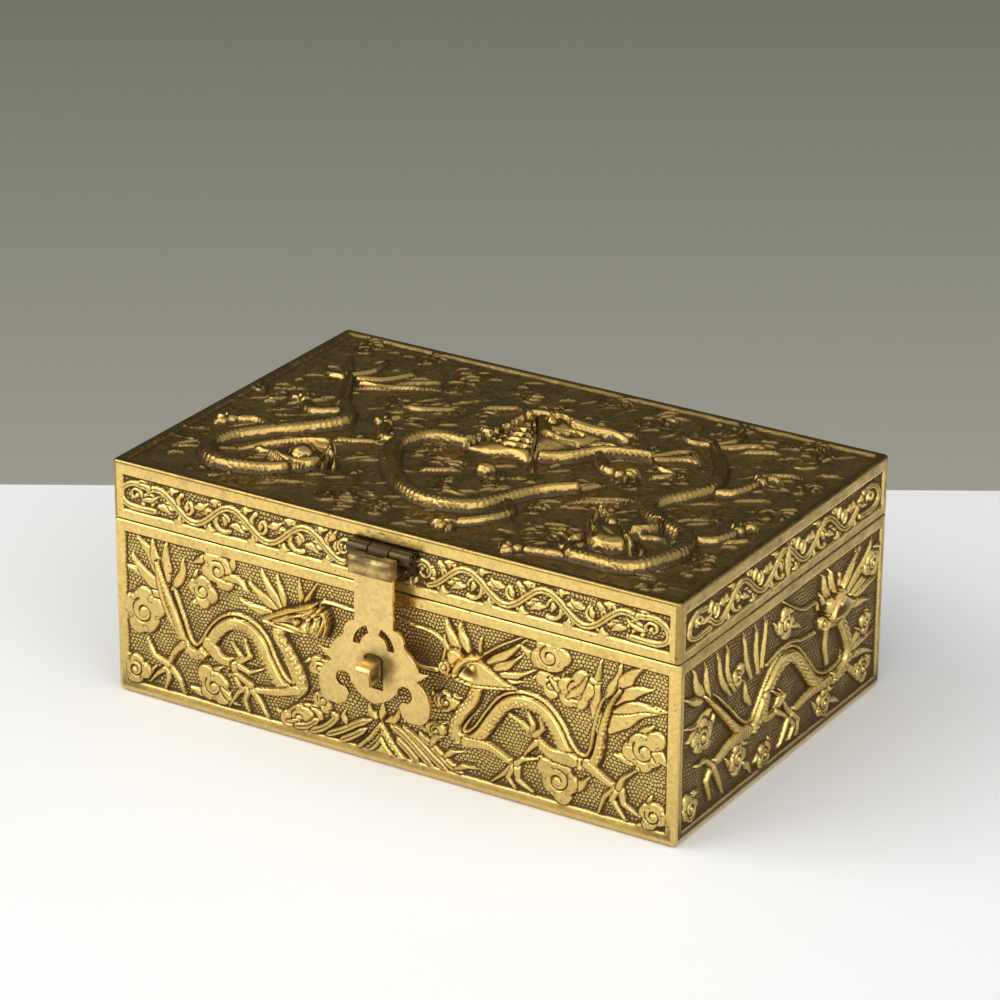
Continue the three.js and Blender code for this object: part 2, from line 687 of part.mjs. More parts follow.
function lidSolid() {
  const slab = roundedBlock(LID_Z, BOX_HEIGHT, 0, LID_ROUND);
  const pockets = [topField, ...Object.values(lidFields)].map((field) => fieldRoom(field, 0));
  const shell = without(slab, [cavity(LID_Z - FAR, BOX_HEIGHT - LID_TOP), ...pockets]);
  const low = LID_LOWER_BORDER + 1.3;
  const high = DRAWN_LID_HEIGHT - LID_UPPER_BORDER - 1.3;
  const quiet = { low, high, leafy: false };
  const frontScroll = [
    ...vineScroll(lidFaces.front, -77, -11, { low, high, pockets: 6 }),
    ...vineScroll(lidFaces.front, 10, 76, { low, high, pockets: 6 }),
  ];
  const figures = [
    trimmed(frontScroll, lidFields.front),
    trimmed(vineScroll(lidFaces.back, -77, 77, { ...quiet, pockets: 14 }), lidFields.back),
    trimmed(vineScroll(lidFaces.right, -48, 48, { low, high, pockets: 8 }), lidFields.right),
    trimmed(vineScroll(lidFaces.left, -48, 48, { ...quiet, pockets: 8 }), lidFields.left),
    trimmed(topFigures(topFace), topField),
  ];
  return carved(shell, figures, hingeSeats(1), [haspLeafRoom()]);
}

// Room in the front band for the hasp's leaf and barrel
function haspLeafRoom() {
  const half = HASP_HINGE_LENGTH / 2 + FIT_GAP;
  return block(
    [HASP_X - half, HASP_X + half],
    [FRONT_Y - FAR, FRONT_Y + FIELD_DEPTH],
    [HASP_LEAF_BOTTOM_Z - FIT_GAP, HASP_HINGE_Z + HASP_KNUCKLE_RADIUS],
  );
}

// Barrels: a row of knuckles shared out between two leaves, bored for one pin

function knuckles(radius, y, z, spans) {
  return joined(spans.map((span) => rod(radius, span, y, z)));
}

function barrelSpans(x, length) {
  const third = length / 3;
  const gap = FIT_GAP / 2;
  return {
    outer: [[x - length / 2, x - third / 2 - gap], [x + third / 2 + gap, x + length / 2]],
    inner: [[x - third / 2 + gap, x + third / 2 - gap]],
  };
}

function bored(solid, x, length, y, z) {
  return solid.subtract(rod(BORE_RADIUS, [x - length, x + length], y, z));
}

// Lid hinges: a leaf on the base and a leaf on the lid, each lying on its seat

function lidHinge(x, up) {
  const { x0, x1, z0, z1 } = lidHingeLeaf(x, up);
  const spans = barrelSpans(x, LID_HINGE_LENGTH);
  const [own, other] = up > 0 ? [spans.inner, spans.outer] : [spans.outer, spans.inner];
  const leafBack = BACK_Y + FIT_GAP;
  const reach = up > 0 ? [SEAM_HEIGHT, z1] : [z0, SEAM_HEIGHT];
  const plate = block([x0, x1], [leafBack, leafBack + LID_LEAF_THICKNESS], reach);
  const clear = other.map(([a, b]) => (
    rod(LID_KNUCKLE_RADIUS + FIT_GAP, [a - FIT_GAP, b + FIT_GAP], LID_HINGE_Y, SEAM_HEIGHT)
  ));
  const leafSolid = without(plate, clear).add(knuckles(LID_KNUCKLE_RADIUS, LID_HINGE_Y, SEAM_HEIGHT, own));
  return bored(leafSolid, x, LID_HINGE_LENGTH, LID_HINGE_Y, SEAM_HEIGHT);
}

function lidHingePin(x) {
  return rod(PIN_RADIUS, [x - LID_HINGE_LENGTH / 2, x + LID_HINGE_LENGTH / 2], LID_HINGE_Y, SEAM_HEIGHT);
}

// Hasp hinge: its leaf in the lid's front band, and its pin

const haspHingeY = FRONT_Y - HASP_HINGE_OUT;
const haspSpans = barrelSpans(HASP_X, HASP_HINGE_LENGTH);

function haspLeafSolid() {
  const back = FRONT_Y + FIELD_DEPTH - FIT_GAP;
  const half = HASP_HINGE_LENGTH / 2;
  const plate = block(
    [HASP_X - half, HASP_X + half],
    [back - HASP_LEAF_THICKNESS, back],
    [HASP_LEAF_BOTTOM_Z, HASP_HINGE_Z + HASP_KNUCKLE_RADIUS - FIT_GAP],
  );
  const [[a, b]] = haspSpans.inner;
  const clear = rod(HASP_KNUCKLE_RADIUS + FIT_GAP, [a - FIT_GAP, b + FIT_GAP], haspHingeY, HASP_HINGE_Z);
  const outer = knuckles(HASP_KNUCKLE_RADIUS, haspHingeY, HASP_HINGE_Z, haspSpans.outer);
  return bored(plate.subtract(clear).add(outer), HASP_X, HASP_HINGE_LENGTH, haspHingeY, HASP_HINGE_Z);
}

function haspPin() {
  const half = HASP_HINGE_LENGTH / 2;
  return rod(PIN_RADIUS, [HASP_X - half, HASP_X + half], haspHingeY, HASP_HINGE_Z);
}

// Hasp

// A flat plate cut to a shape drawn in x and z, standing at a distance out of the front
function upright(shape, out, thickness, curveSegments = 3) {
  const geometry = new THREE.ExtrudeGeometry(shape, { depth: thickness, bevelEnabled: false, curveSegments });
  geometry.rotateX(Math.PI / 2);
  geometry.translate(HASP_X, FRONT_Y - out + thickness, 0);
  return solidFrom(geometry);
}

// A point of the plate, in hundredths of its half width from the middle and of its height from the bottom
function plateAt(across, above) {
  return [across / 100 * PLATE_WIDTH / 2, PLATE_TOP_Z + (above / 100 - 1) * PLATE_HEIGHT];
}

// The right half of the cloud outline from the strap down to the lower point: pairs of a control and an end
const PLATE_OUTLINE = [
  [[48, 104], [54, 92.5]],
  [[51, 87.5], [58, 83.3]],
  [[72, 77], [79, 63]],
  [[90, 61.5], [100, 65]],
  [[88.5, 57], [75, 51]],
  [[96.5, 44], [98.8, 22.8]],
  [[98.8, 0], [71, 0]],
  [[49.7, 0], [46.7, 14]],
  [[38.8, 22], [31, 22.8]],
  [[18, 15.4], [0, 11.4]],
];

function plateShape() {
  const half = STRAP_WIDTH / 2;
  const top = HEAD_BOTTOM_Z + HASP_THICKNESS;
  const shoulder = PLATE_TOP_Z + HASP_THICKNESS;
  const right = PLATE_OUTLINE.map(([control, end]) => [plateAt(...control), plateAt(...end)]);
  const shape = new THREE.Shape();
  shape.moveTo(-half, top);
  shape.lineTo(half, top);
  shape.lineTo(half, shoulder);
  for (const [control, end] of right) shape.quadraticCurveTo(...control, ...end);
  for (let i = right.length - 1; i >= 0; i -= 1) {
    const end = i > 0 ? right[i - 1][1] : [half, shoulder];
    shape.quadraticCurveTo(-right[i][0][0], right[i][0][1], -end[0], end[1]);
  }
  shape.lineTo(-half, top);
  return shape;
}

// Piercings: two keyholes that open to the lower edge, and two crescents under the strap
function piercings() {
  const unit = PLATE_WIDTH / 33;
  const [, crescentZ] = plateAt(0, 78);
  return [-1, 1].flatMap((side) => {
    const at = (across, above) => {
      const [x, z] = plateAt(across, above);
      return [side * x, z];
    };
    const eye = new THREE.Shape();
    eye.absarc(...at(54.5, 32), 2.2 * unit, 0, Math.PI * 2, false);
    const throat = new THREE.Shape();
    throat.moveTo(...at(54.5, 32));
    for (const corner of [[43.6, 34.6], [27.9, 20.6], [40, 10], [48.5, 23.2]]) {
      throat.lineTo(...at(...corner));
    }
    const crescent = new THREE.Shape();
    const [from, to] = side > 0 ? [0.02, 1.2] : [Math.PI - 0.02, Math.PI - 1.2];
    crescent.absarc(0, crescentZ, 6 * unit, from, to, side < 0);
    crescent.absarc(0, crescentZ, 4 * unit, to, from, side > 0);
    return [eye, throat, crescent];
  });
}

// The plate swings about the hasp's hinge, so the slot spans the radii that the staple's end sweeps
function stapleSlotShape() {
  const halfWidth = STAPLE_WIDTH / 2 + SLOT_CLEARANCE;
  const lowest = STAPLE_Z - STAPLE_HEIGHT / 2;
  const reach = Math.hypot(HASP_HINGE_Z - lowest, STAPLE_OUT - HASP_HINGE_OUT);
  const plateBack = HASP_OUT - HASP_THICKNESS - HASP_HINGE_OUT;
  const bottom = HASP_HINGE_Z - Math.sqrt((reach + SLOT_CLEARANCE) ** 2 - plateBack ** 2);
  const top = STAPLE_Z + STAPLE_HEIGHT / 2 + SLOT_CLEARANCE * 2;
  const shape = new THREE.Shape();
  shape.moveTo(-halfWidth, bottom);
  shape.lineTo(halfWidth, bottom);
  shape.lineTo(halfWidth, top - halfWidth * 0.4);
  shape.quadraticCurveTo(halfWidth, top, 0, top);
  shape.quadraticCurveTo(-halfWidth, top, -halfWidth, top - halfWidth * 0.4);
  shape.lineTo(-halfWidth, bottom);
  return shape;
}

// The head: a block folded over the hinge, with its outer edges bevelled
function haspHead() {
  const half = HEAD_WIDTH / 2;
  const back = FRONT_Y - HASP_HINGE_OUT - HASP_KNUCKLE_RADIUS - FIT_GAP;
  const front = FRONT_Y - HEAD_OUT;
  const top = HASP_HINGE_Z + 0.3;
  const ring = (y, draw) => [
    new THREE.Vector3(HASP_X - half + draw, y, HEAD_BOTTOM_Z + draw),
    new THREE.Vector3(HASP_X + half - draw, y, HEAD_BOTTOM_Z + draw),
    new THREE.Vector3(HASP_X + half - draw, y, top - draw),
    new THREE.Vector3(HASP_X - half + draw, y, top - draw),
  ];
  return solidFrom(loft([ring(back, 0), ring(front + HEAD_BEVEL, 0), ring(front, HEAD_BEVEL)]));
}

function haspSolid() {
  const [[a, b]] = haspSpans.inner;
  const neck = block(
    [a, b],
    [FRONT_Y - HASP_HINGE_OUT - HASP_KNUCKLE_RADIUS - FIT_GAP - 1, haspHingeY],
    [HASP_HINGE_Z - HASP_KNUCKLE_RADIUS, HASP_HINGE_Z + 0.3],
  );
  const plate = without(
    upright(plateShape(), HASP_OUT, HASP_THICKNESS),
    [...piercings(), stapleSlotShape()].map((shape) => upright(shape, HASP_OUT + 1, HASP_THICKNESS + 2)),
  );
  const middleKnuckle = knuckles(HASP_KNUCKLE_RADIUS, haspHingeY, HASP_HINGE_Z, haspSpans.inner);
  const whole = joined([haspHead(), neck, middleKnuckle, plate]);
  return bored(whole, HASP_X, HASP_HINGE_LENGTH, haspHingeY, HASP_HINGE_Z);
}

// Staple: a square bar out of the front with an eye through it

function stapleSolid() {
  const half = STAPLE_WIDTH / 2;
  const root = FRONT_Y + FIELD_DEPTH - FIT_GAP;
  const bar = block(
    [HASP_X - half, HASP_X + half],
    [FRONT_Y - STAPLE_OUT, root],
    [STAPLE_Z - STAPLE_HEIGHT / 2, STAPLE_Z + STAPLE_HEIGHT / 2],
  );
  const eye = block(
    [HASP_X - half - 1, HASP_X + half + 1],
    [FRONT_Y - STAPLE_OUT + STAPLE_BAR, FRONT_Y - HASP_OUT - FIT_GAP],
    [STAPLE_Z - STAPLE_EYE_HEIGHT / 2, STAPLE_Z + STAPLE_EYE_HEIGHT / 2],
  );
  return bar.subtract(eye);
}

// Materials and the group of pieces

const castBrass = new THREE.MeshStandardMaterial({ color: 0xc2a45f, roughness: 0.42, metalness: 1 });
const darkBrass = new THREE.MeshStandardMaterial({ color: 0x6b5430, roughness: 0.5, metalness: 1 });
const sheetBrass = new THREE.MeshStandardMaterial({ color: 0xd9bd78, roughness: 0.36, metalness: 1 });
const hingeBrass = new THREE.MeshStandardMaterial({ color: 0x8a6f3c, roughness: 0.5, metalness: 1 });

function addPiece(group, name, solid, material) {
  const { numProp, vertProperties, triVerts } = solid.getMesh();
  const geometry = new THREE.BufferGeometry();
  geometry.setAttribute('position', new THREE.InterleavedBufferAttribute(
    new THREE.InterleavedBuffer(vertProperties, numProp), 3, 0,
  ));
  geometry.setIndex(new THREE.BufferAttribute(triVerts, 1));
  const mesh = new THREE.Mesh(geometry.toNonIndexed(), material);
  mesh.name = name;
  group.add(mesh);
}

const box = new THREE.Group();
addPiece(box, 'base', baseSolid(), castBrass);
addPiece(box, 'lid', lidSolid(), darkBrass);
addPiece(box, 'staple', stapleSolid(), sheetBrass);
addPiece(box, 'hasp', haspSolid(), sheetBrass);
addPiece(box, 'hasp_leaf', haspLeafSolid(), hingeBrass);
addPiece(box, 'hasp_pin', haspPin(), hingeBrass);
for (const [side, x] of [['left', -LID_HINGE_X], ['right', LID_HINGE_X]]) {
  addPiece(box, `base_hinge_leaf_${side}`, lidHinge(x, -1), hingeBrass);
  addPiece(box, `lid_hinge_leaf_${side}`, lidHinge(x, 1), hingeBrass);
  addPiece(box, `lid_hinge_pin_${side}`, lidHingePin(x), hingeBrass);
}

export default box;
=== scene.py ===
import math

import bmesh
import bpy
import numpy as np
from mathutils import Matrix, Vector

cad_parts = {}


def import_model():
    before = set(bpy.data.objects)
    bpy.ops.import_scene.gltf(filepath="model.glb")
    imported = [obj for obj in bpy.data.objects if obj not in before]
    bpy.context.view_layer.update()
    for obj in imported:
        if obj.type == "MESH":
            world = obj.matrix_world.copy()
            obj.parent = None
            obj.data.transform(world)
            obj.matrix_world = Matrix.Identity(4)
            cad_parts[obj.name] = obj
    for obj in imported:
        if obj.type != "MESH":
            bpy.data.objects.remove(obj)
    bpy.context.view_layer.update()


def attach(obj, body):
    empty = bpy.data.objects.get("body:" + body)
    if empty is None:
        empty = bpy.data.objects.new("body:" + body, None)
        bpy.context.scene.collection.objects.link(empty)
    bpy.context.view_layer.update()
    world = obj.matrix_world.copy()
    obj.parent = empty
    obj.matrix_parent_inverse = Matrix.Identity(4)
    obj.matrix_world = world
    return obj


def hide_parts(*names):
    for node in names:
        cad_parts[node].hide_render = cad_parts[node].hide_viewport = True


# Sizes in the carving are in millimetres. On every face u runs right and v up as seen from outside,
# and heights are measured from the level of the rails.

MM = 0.001
HALF_LENGTH = 82.5
HALF_DEPTH = 54.0
RIM = 48.75
LID_BOTTOM = 49.05
LID_TOP = 65.0
WALL = 3.2
FLOOR = 2.6
LID_INSIDE = 62.2
CORNER = 1.2
INNER_CORNER = 5.6
FAR = 12.0

# The carved slabs: how deep their fields lie, how thick they are, and where they sit in the plain bodies
FIELD_DEPTH = 0.9
TOP_DEPTH = 0.8
SLAB_BACK = -1.5
FLAT_X = HALF_LENGTH - 1.3
FLAT_Y = HALF_DEPTH - 1.3
BASE_SEAT = (2.0, RIM - 0.3)
LID_SEAT = (LID_BOTTOM + 0.3, LID_TOP - 0.85)
BASE_FIELD = (3.8, 45.65)
LID_FIELD = (51.75, 61.2)
VINE_LOW = 53.0
VINE_HIGH = 59.4

# Hinges: the hasp's in front and the lid's two behind
HASP_X = -0.2
HASP_HINGE_Y = -55.9
HASP_HINGE_Z = 59.4
HASP_HINGE_LENGTH = 18.4
HASP_KNUCKLE_RADIUS = 1.8
LID_HINGE_X = 46.0
LID_HINGE_Y = 56.3
LID_HINGE_Z = 48.9
LID_HINGE_LENGTH = 24.0
LID_KNUCKLE_RADIUS = 2.0
BORE_RADIUS = 1.1
PIN_RADIUS = 0.8
KNUCKLE_GAP = 0.15
NOTCH_ROOM = 0.3

# The ring punch leaves rows of small bosses: their distance apart, and that of the rows as a share of it
PUNCH_PITCH = 1.05
PUNCH_ROW = 0.9


# Curves

def spline(points, gap=0.6, smooth=True):
    """A curve through the points, cut into steps of about the same length."""
    p = np.array(points, float)
    if smooth and len(p) > 2:
        ends = np.vstack([2 * p[0] - p[1], p, 2 * p[-1] - p[-2]])
        t = np.linspace(0, 1, 13)[:-1, None]
        parts = []
        for i in range(len(p) - 1):
            a, b, c, d = ends[i:i + 4]
            linear = 2 * b + (c - a) * t
            curved = (2 * a - 5 * b + 4 * c - d) * t ** 2 + (3 * b - a - 3 * c + d) * t ** 3
            parts.append((linear + curved) / 2)
        p = np.vstack(parts + [p[-1:]])
    if not smooth:
        return p
    lengths = np.hypot(*np.diff(p, axis=0).T)
    along = np.concatenate([[0], np.cumsum(lengths)])
    count = max(4, int(along[-1] / gap) + 1)
    at = np.linspace(0, along[-1], count)
    return np.column_stack([np.interp(at, along, p[:, 0]), np.interp(at, along, p[:, 1])])


def beside(line, offset):
    """The curve moved sideways: to the left of its direction where the offset is above 0."""
    step = np.gradient(line, axis=0)
    step /= np.hypot(step[:, 0], step[:, 1])[:, None]
    return line + np.column_stack([-step[:, 1], step[:, 0]]) * offset


def arc_points(centre, radius, start, turns, count=40, inner=0.15):
    """A spiral from its rim in to its heart. Angles in degrees, turns above 0 run anticlockwise."""
    t = np.linspace(0, 1, count)
    angle = np.radians(start) + turns * t * 2 * np.pi
    r = radius * (1 - (1 - inner) * t)
    return np.column_stack([centre[0] + r * np.cos(angle), centre[1] + r * np.sin(angle)])


def smoothstep(x):
    x = np.clip(x, 0, 1)
    return x * x * (3 - 2 * x)


def blurred(h, cells):
    """A soft blur: a box average run twice."""
    n = max(1, int(round(cells)))
    out = h
    for _ in range(2):
        for axis in (0, 1):
            rows = out if axis == 0 else out.T
            total = np.cumsum(np.pad(rows, [(n + 1, n), (0, 0)], mode="edge"), axis=0)
            mean = (total[2 * n + 1:] - total[:-2 * n - 1]) / (2 * n + 1)
            out = mean if axis == 0 else mean.T
    return out


# Carving on a grid of heights

class Relief:
    """A carved face as a grid of heights, with what is still bare ground and where patina and painted shade
    lie.
    """

    def __init__(self, u, v, field_u, field_v, step, ground, seed):
        self.u = np.linspace(u[0], u[1], int(round((u[1] - u[0]) / step)) + 1)
        self.v = np.linspace(v[0], v[1], int(round((v[1] - v[0]) / step)) + 1)
        self.step = step
        self.ground = -ground
        self.random = np.random.default_rng(seed)
        grid_u, grid_v = np.meshgrid(self.u, self.v)
        middle_u, half_u = sum(field_u) / 2, (field_u[1] - field_u[0]) / 2
        middle_v, half_v = sum(field_v) / 2, (field_v[1] - field_v[0]) / 2
        self.room = np.minimum(half_u - abs(grid_u - middle_u), half_v - abs(grid_v - middle_v))
        self.grid_u = grid_u
        self.grid_v = grid_v
        self.h = np.full(grid_u.shape, self.ground)
        self.bare = np.ones(grid_u.shape, bool)
        self.painted_shade = np.zeros(grid_u.shape)
        self.net = np.zeros(grid_u.shape)
        self.place_u = grid_u.copy()
        self.place_v = grid_v.copy()

    def window(self, low, high):
        i0, i1 = np.searchsorted(self.u, (low[0], high[0]))
        j0, j1 = np.searchsorted(self.v, (low[1], high[1]))
        return slice(j0, j1), slice(i0, i1)

    def trace(self, line, reach):
        """Distance, side and place along a curve for each cell within reach of it."""
        rows, columns = self.window(line.min(0) - reach, line.max(0) + reach)
        shape = self.h[rows, columns].shape
        near = np.full(shape, 1e6)
        side = np.zeros(shape)
        along = np.zeros(shape)
        start = 0.0
        for a, b in zip(line[:-1], line[1:]):
            step = b - a
            length = math.hypot(*step)
            if length < 1e-9:
                continue
            r, c = self.window(np.minimum(a, b) - reach, np.maximum(a, b) + reach)
            r = slice(max(r.start, rows.start), min(r.stop, rows.stop))
            c = slice(max(c.start, columns.start), min(c.stop, columns.stop))
            if r.stop <= r.start or c.stop <= c.start:
                start += length
                continue
            part = (slice(r.start - rows.start, r.stop - rows.start),
                    slice(c.start - columns.start, c.stop - columns.start))
            du = self.u[c][None, :] - a[0]
            dv = self.v[r][:, None] - a[1]
            share = np.clip((du * step[0] + dv * step[1]) / length ** 2, 0, 1)
            distance = np.hypot(du - share * step[0], dv - share * step[1])
            closer = distance < near[part]
            near[part] = np.where(closer, distance, near[part])
            turn = np.sign(step[0] * dv - step[1] * du)
            side[part] = np.where(closer, turn, side[part])
            along[part] = np.where(closer, start + share * length, along[part])
            start += length
        return (rows, columns), near, side, along, start

    def lay(self, window, inside, height, wall=0.4, chase=0.45):
        """Lays a form over what is there. inside is the distance in from its outline."""
        h = self.h[window]
        raised = np.clip((h - self.ground) / 0.5, 0, 1)
        line = np.clip(1 + inside / 0.45, 0, 1) * (inside <= 0)
        under = h - chase * line * raised
        form = self.ground + height * smoothstep(inside / wall + 0.12)
        self.h[window] = np.where(inside > 0, form, under)
        self.bare[window] &= inside < -0.1

    def stroke(self, line, half, rise, crown=0.55, wall=0.4, detail=None, chase=0.45):
        """A raised band along a curve. half gives half its width, and rise its height, at a share of it."""
        line = np.asarray(line)
        widest = float(np.max(half(np.linspace(0, 1, 25))))
        window, near, side, along, total = self.trace(line, widest + 0.7)
        share = along / max(total, 1e-6)
        width = np.maximum(half(share), 1e-3)
        across = near / width
        top = rise(share) if callable(rise) else rise
        height = top * (1 - crown + crown * np.sqrt(np.clip(1 - across ** 2, 0, 1)))
        if detail is not None:
            height = height + detail(across * side, along, share)
        self.lay(window, width - near, height, min(wall, widest * 0.6), chase)

    def outline(self, points, rise, rounding=1.2, smooth=True, detail=None, crown=0.5):
        """A raised form inside a closed outline."""
        closed = list(points) + [points[0]]
        line = spline(closed, 0.5) if smooth else np.array(closed, float)
        window, near, _, _, _ = self.trace(line, max(3.5, rounding * 1.5))
        uu = self.grid_u[window]
        vv = self.grid_v[window]
        within = np.zeros(uu.shape, bool)
        for (u0, v0), (u1, v1) in zip(line[:-1], line[1:]):
            if abs(v1 - v0) < 1e-12:
                continue
            crosses = (v0 > vv) != (v1 > vv)
            within ^= crosses & (uu < (u1 - u0) * (vv - v0) / (v1 - v0) + u0)
        near = np.minimum(near, 20)
        inside = np.where(within, near, -near)
        dome = np.sqrt(np.clip(1 - (1 - np.clip(near / rounding, 0, 1)) ** 2, 0, 1))
        height = rise * (1 - crown + crown * dome)
        if detail is not None:
            height = height + detail(uu, vv)
        self.lay(window, inside, height)

    def groove(self, line, width, depth):
        window, near, _, _, _ = self.trace(np.asarray(line), width + 0.3)
        cut = depth * smoothstep(1 - near / width)
        self.h[window] = np.where(near < width, self.h[window] - cut, self.h[window])

    def bead(self, centre, radius, rise, over=0.0):
        """A round boss. With over it stands on top of what is there."""
        window = self.window(np.array(centre) - radius - 0.8, np.array(centre) + radius + 0.8)
        away = np.hypot(self.grid_u[window] - centre[0], self.grid_v[window] - centre[1])
        dome = np.sqrt(np.clip(1 - (away / radius) ** 2, 0, 1))
        if over:
            self.h[window] = np.where(away < radius, self.h[window] + over * dome, self.h[window])
            ring = np.clip(1 - abs(away - radius - 0.1) / 0.35, 0, 1)
            self.h[window] -= 0.3 * ring
            return
        self.lay(window, radius - away, rise * (0.4 + 0.6 * dome), 0.3)

    def leaf(self, root, tip, width, bend=0.0, rise=1.2, ribs=0.04):
        """A leaf or flame with a ridge down its middle, drawn out to a point."""
        root = np.array(root, float)
        tip = np.array(tip, float)
        run = tip - root
        middle = root + run / 2 + np.array([-run[1], run[0]]) * bend
        line = spline([root, middle, tip], 0.5)

        def half(t):
            return width / 2 * np.clip(0.5 + 1.9 * t, 0, 1) * np.clip((1 - t) * 1.6, 0, 1) ** 0.75

        def veins(across, along, share):
            return ribs * (np.cos(across * 9) - 1) + 0.3 * rise * (0.5 - abs(across))

        self.stroke(line, half, rise, crown=0.25, detail=veins)

    def body(self, spine, width, rise, scales=0.0, thin=0.3, taper=0.0, lean=1):
        line = spline(spine, 0.5)

        def half(t):
            start = thin + (1 - thin) * np.clip(t * 3, 0, 1)
            return width / 2 * start * (1 - taper * np.clip((t - 0.75) * 4, 0, 1))

        def skin(across, along, share):
            row = np.floor(along / 1.3)
            column = across * 1.7 + 0.5 * (row % 2)
            cell = np.abs(np.sin(np.pi * along / 1.3)) * np.abs(np.cos(np.pi * column))
            lane = smoothstep((0.25 - across * lean) / 0.3)
            groove = np.clip(1 - abs(across * lean - 0.32) / 0.16, 0, 1)
            return scales * lane * (1.6 * cell - 0.9) - 0.3 * groove

        self.stroke(line, half, rise, crown=0.6, detail=skin)
        return line

    def ribbon(self, line, offset, width, rise, teeth, start=0.08, end=0.92):
        """A toothed fin that runs beside a body."""
        n = len(line)
        edge = beside(line, offset)[int(n * start):int(n * end)]

        def half(t):
            return width / 2 * np.clip(np.minimum(t, 1 - t) * 12, 0.15, 1)

        def comb(across, along, share):
            saw = (along / teeth + 0.35 * across) % 1
            return 0.3 * rise * (0.5 - saw) * np.clip(across * np.sign(offset) + 0.9, 0, 1)

        self.stroke(edge, half, rise, crown=0.4, detail=comb)

    def curl(self, centre, radius, start, turns, width, rise, inner=0.22):
        line = arc_points(centre, radius, start, turns, inner=inner)
        self.stroke(line, lambda t: width / 2 * (1 - 0.3 * t), rise, crown=0.5)
        heart = line[-1]
        self.bead(heart, width * 0.62, rise * 1.05)

    def cloud(self, centre, radius, lobes, start=0.0, turn=1, rise=1.4, squeeze=1.0, lobe_depth=0.28):
        """A lobed flower of cloud with a spiral chased into it."""
        cu, cv = centre
        angle = np.linspace(0, 2 * np.pi, 97)[:-1]
        turned = angle - math.radians(start)
        petals = self.random.uniform(0.5, 1.25, lobes)
        own = petals[np.round(turned / (2 * np.pi / lobes)).astype(int) % lobes]
        lobe = 1 - lobe_depth + lobe_depth * np.abs(np.cos(lobes * turned / 2)) ** 0.8 * own
        shift = self.random.uniform(0, 2 * np.pi, 2)
        lobe = lobe * (1 + 0.1 * np.sin(2 * angle + shift[0]) + 0.07 * np.sin(3 * angle + shift[1]))
        rim = [(cu + radius * r * math.cos(a), cv + radius * squeeze * r * math.sin(a))
               for r, a in zip(lobe, angle)]

        def rays(uu, vv):
            away = np.hypot(uu - cu, (vv - cv) / squeeze) / radius
            spin = np.arctan2(vv - cv, uu - cu)
            fade = smoothstep((away - 0.42) / 0.15) * smoothstep((0.95 - away) / 0.2)
            return 0.09 * fade * np.cos(spin * 30) + 0.3 * (0.6 - away)

        self.outline(rim, rise, rounding=radius * 0.3, detail=rays)
        line = arc_points(centre, radius * 0.5, start + 90, 1.2 * turn, inner=0.3)
        self.groove(line, 0.44, rise * 0.55)
        self.bead(centre, radius * 0.17, rise, over=0.25)
        for petal in range(lobes if rise > 1 else 0):
            spin = math.radians(start) + (petal + 0.5) * 2 * math.pi / lobes
            tip = (cu + radius * 0.62 * math.cos(spin), cv + radius * squeeze * 0.62 * math.sin(spin))
            self.groove(arc_points(tip, radius * 0.2, math.degrees(spin), 0.7 * turn, 12, 0.4), 0.34,
                        rise * 0.3)

    def toes(self, paths, rise=1.5, root=1.0, tip=0.28):
        """Bird-like toes: crooked bars that thin out to claws."""
        for path in paths:
            line = spline(path, smooth=False)
            self.stroke(line, lambda t: root + (tip - root) * t ** 1.4, rise, crown=0.45, wall=0.3)

    def leg(self, path, width, rise, scales, *toes):
        self.limb(path, width, rise, scales)
        self.toes(toes)

    def limb(self, path, width, rise, scales):
        line = spline(path, 0.5)

        def half(t):
            return width / 2 * (1 - 0.45 * t)

        def skin(across, along, share):
            cell = np.sin(along * 2 * np.pi / 1.0 + 3 * across) * np.cos(across * 7)
            return scales * cell

        self.stroke(line, half, rise, crown=0.55, detail=skin)

    def punch(self, depth):
        """The bare ground is struck with a ring punch: close rows of small round bosses."""
        for place in (self.place_u, self.place_v):
            drift = blurred(self.random.normal(0, 1, self.h.shape), 1.1 / self.step)
            place += 0.24 * drift / drift.std()
        row = self.place_v / (PUNCH_ROW * PUNCH_PITCH)
        shift = 0.5 * (np.floor(row) % 2)
        across = (self.place_u / PUNCH_PITCH - shift) % 1 - 0.5
        along = (row % 1 - 0.5) * PUNCH_ROW
        boss = smoothstep((0.57 - np.hypot(across, along)) / 0.26)
        uneven = blurred(self.random.uniform(-1, 1, self.h.shape), 1.2 / self.step)
        self.h += (depth * (boss - 0.6) + 0.25 * uneven) * self.bare
        self.net = self.bare * np.clip((self.room - 0.3) / 0.3, 0, 1)

    def ripple(self, amount):
        """Uneven ground left by the casting, in soft swirls."""
        rough = self.random.normal(0, 1, self.h.shape)
        broad = blurred(rough, 1.6 / self.step)
        close = blurred(rough, 0.5 / self.step)
        broad /= broad.std()
        close /= close.std()
        folds = 1 - 2 * np.abs(np.sin(1.4 * broad + 0.25 * self.grid_v))
        self.h += amount * (0.5 * broad + 0.4 * close + 0.5 * folds) * self.bare

    def paint_shade(self, centre, radius, amount, squeeze=1.0):
        """Painted shade gathered round a place."""
        away = np.hypot(self.grid_u - centre[0], (self.grid_v - centre[1]) / squeeze) / radius
        self.painted_shade += amount * smoothstep(1.2 - away)

    def frame(self, lip=0.5):
        """Brings back the rails round the field, with a worn edge on the inside."""
        slope = smoothstep(-self.room / lip * 0.9 + 0.5)
        self.h = self.h * (1 - slope)
        ditch = np.clip(1 - abs(self.room - 0.35) / 0.4, 0, 1) * self.bare
        self.h -= 0.15 * ditch

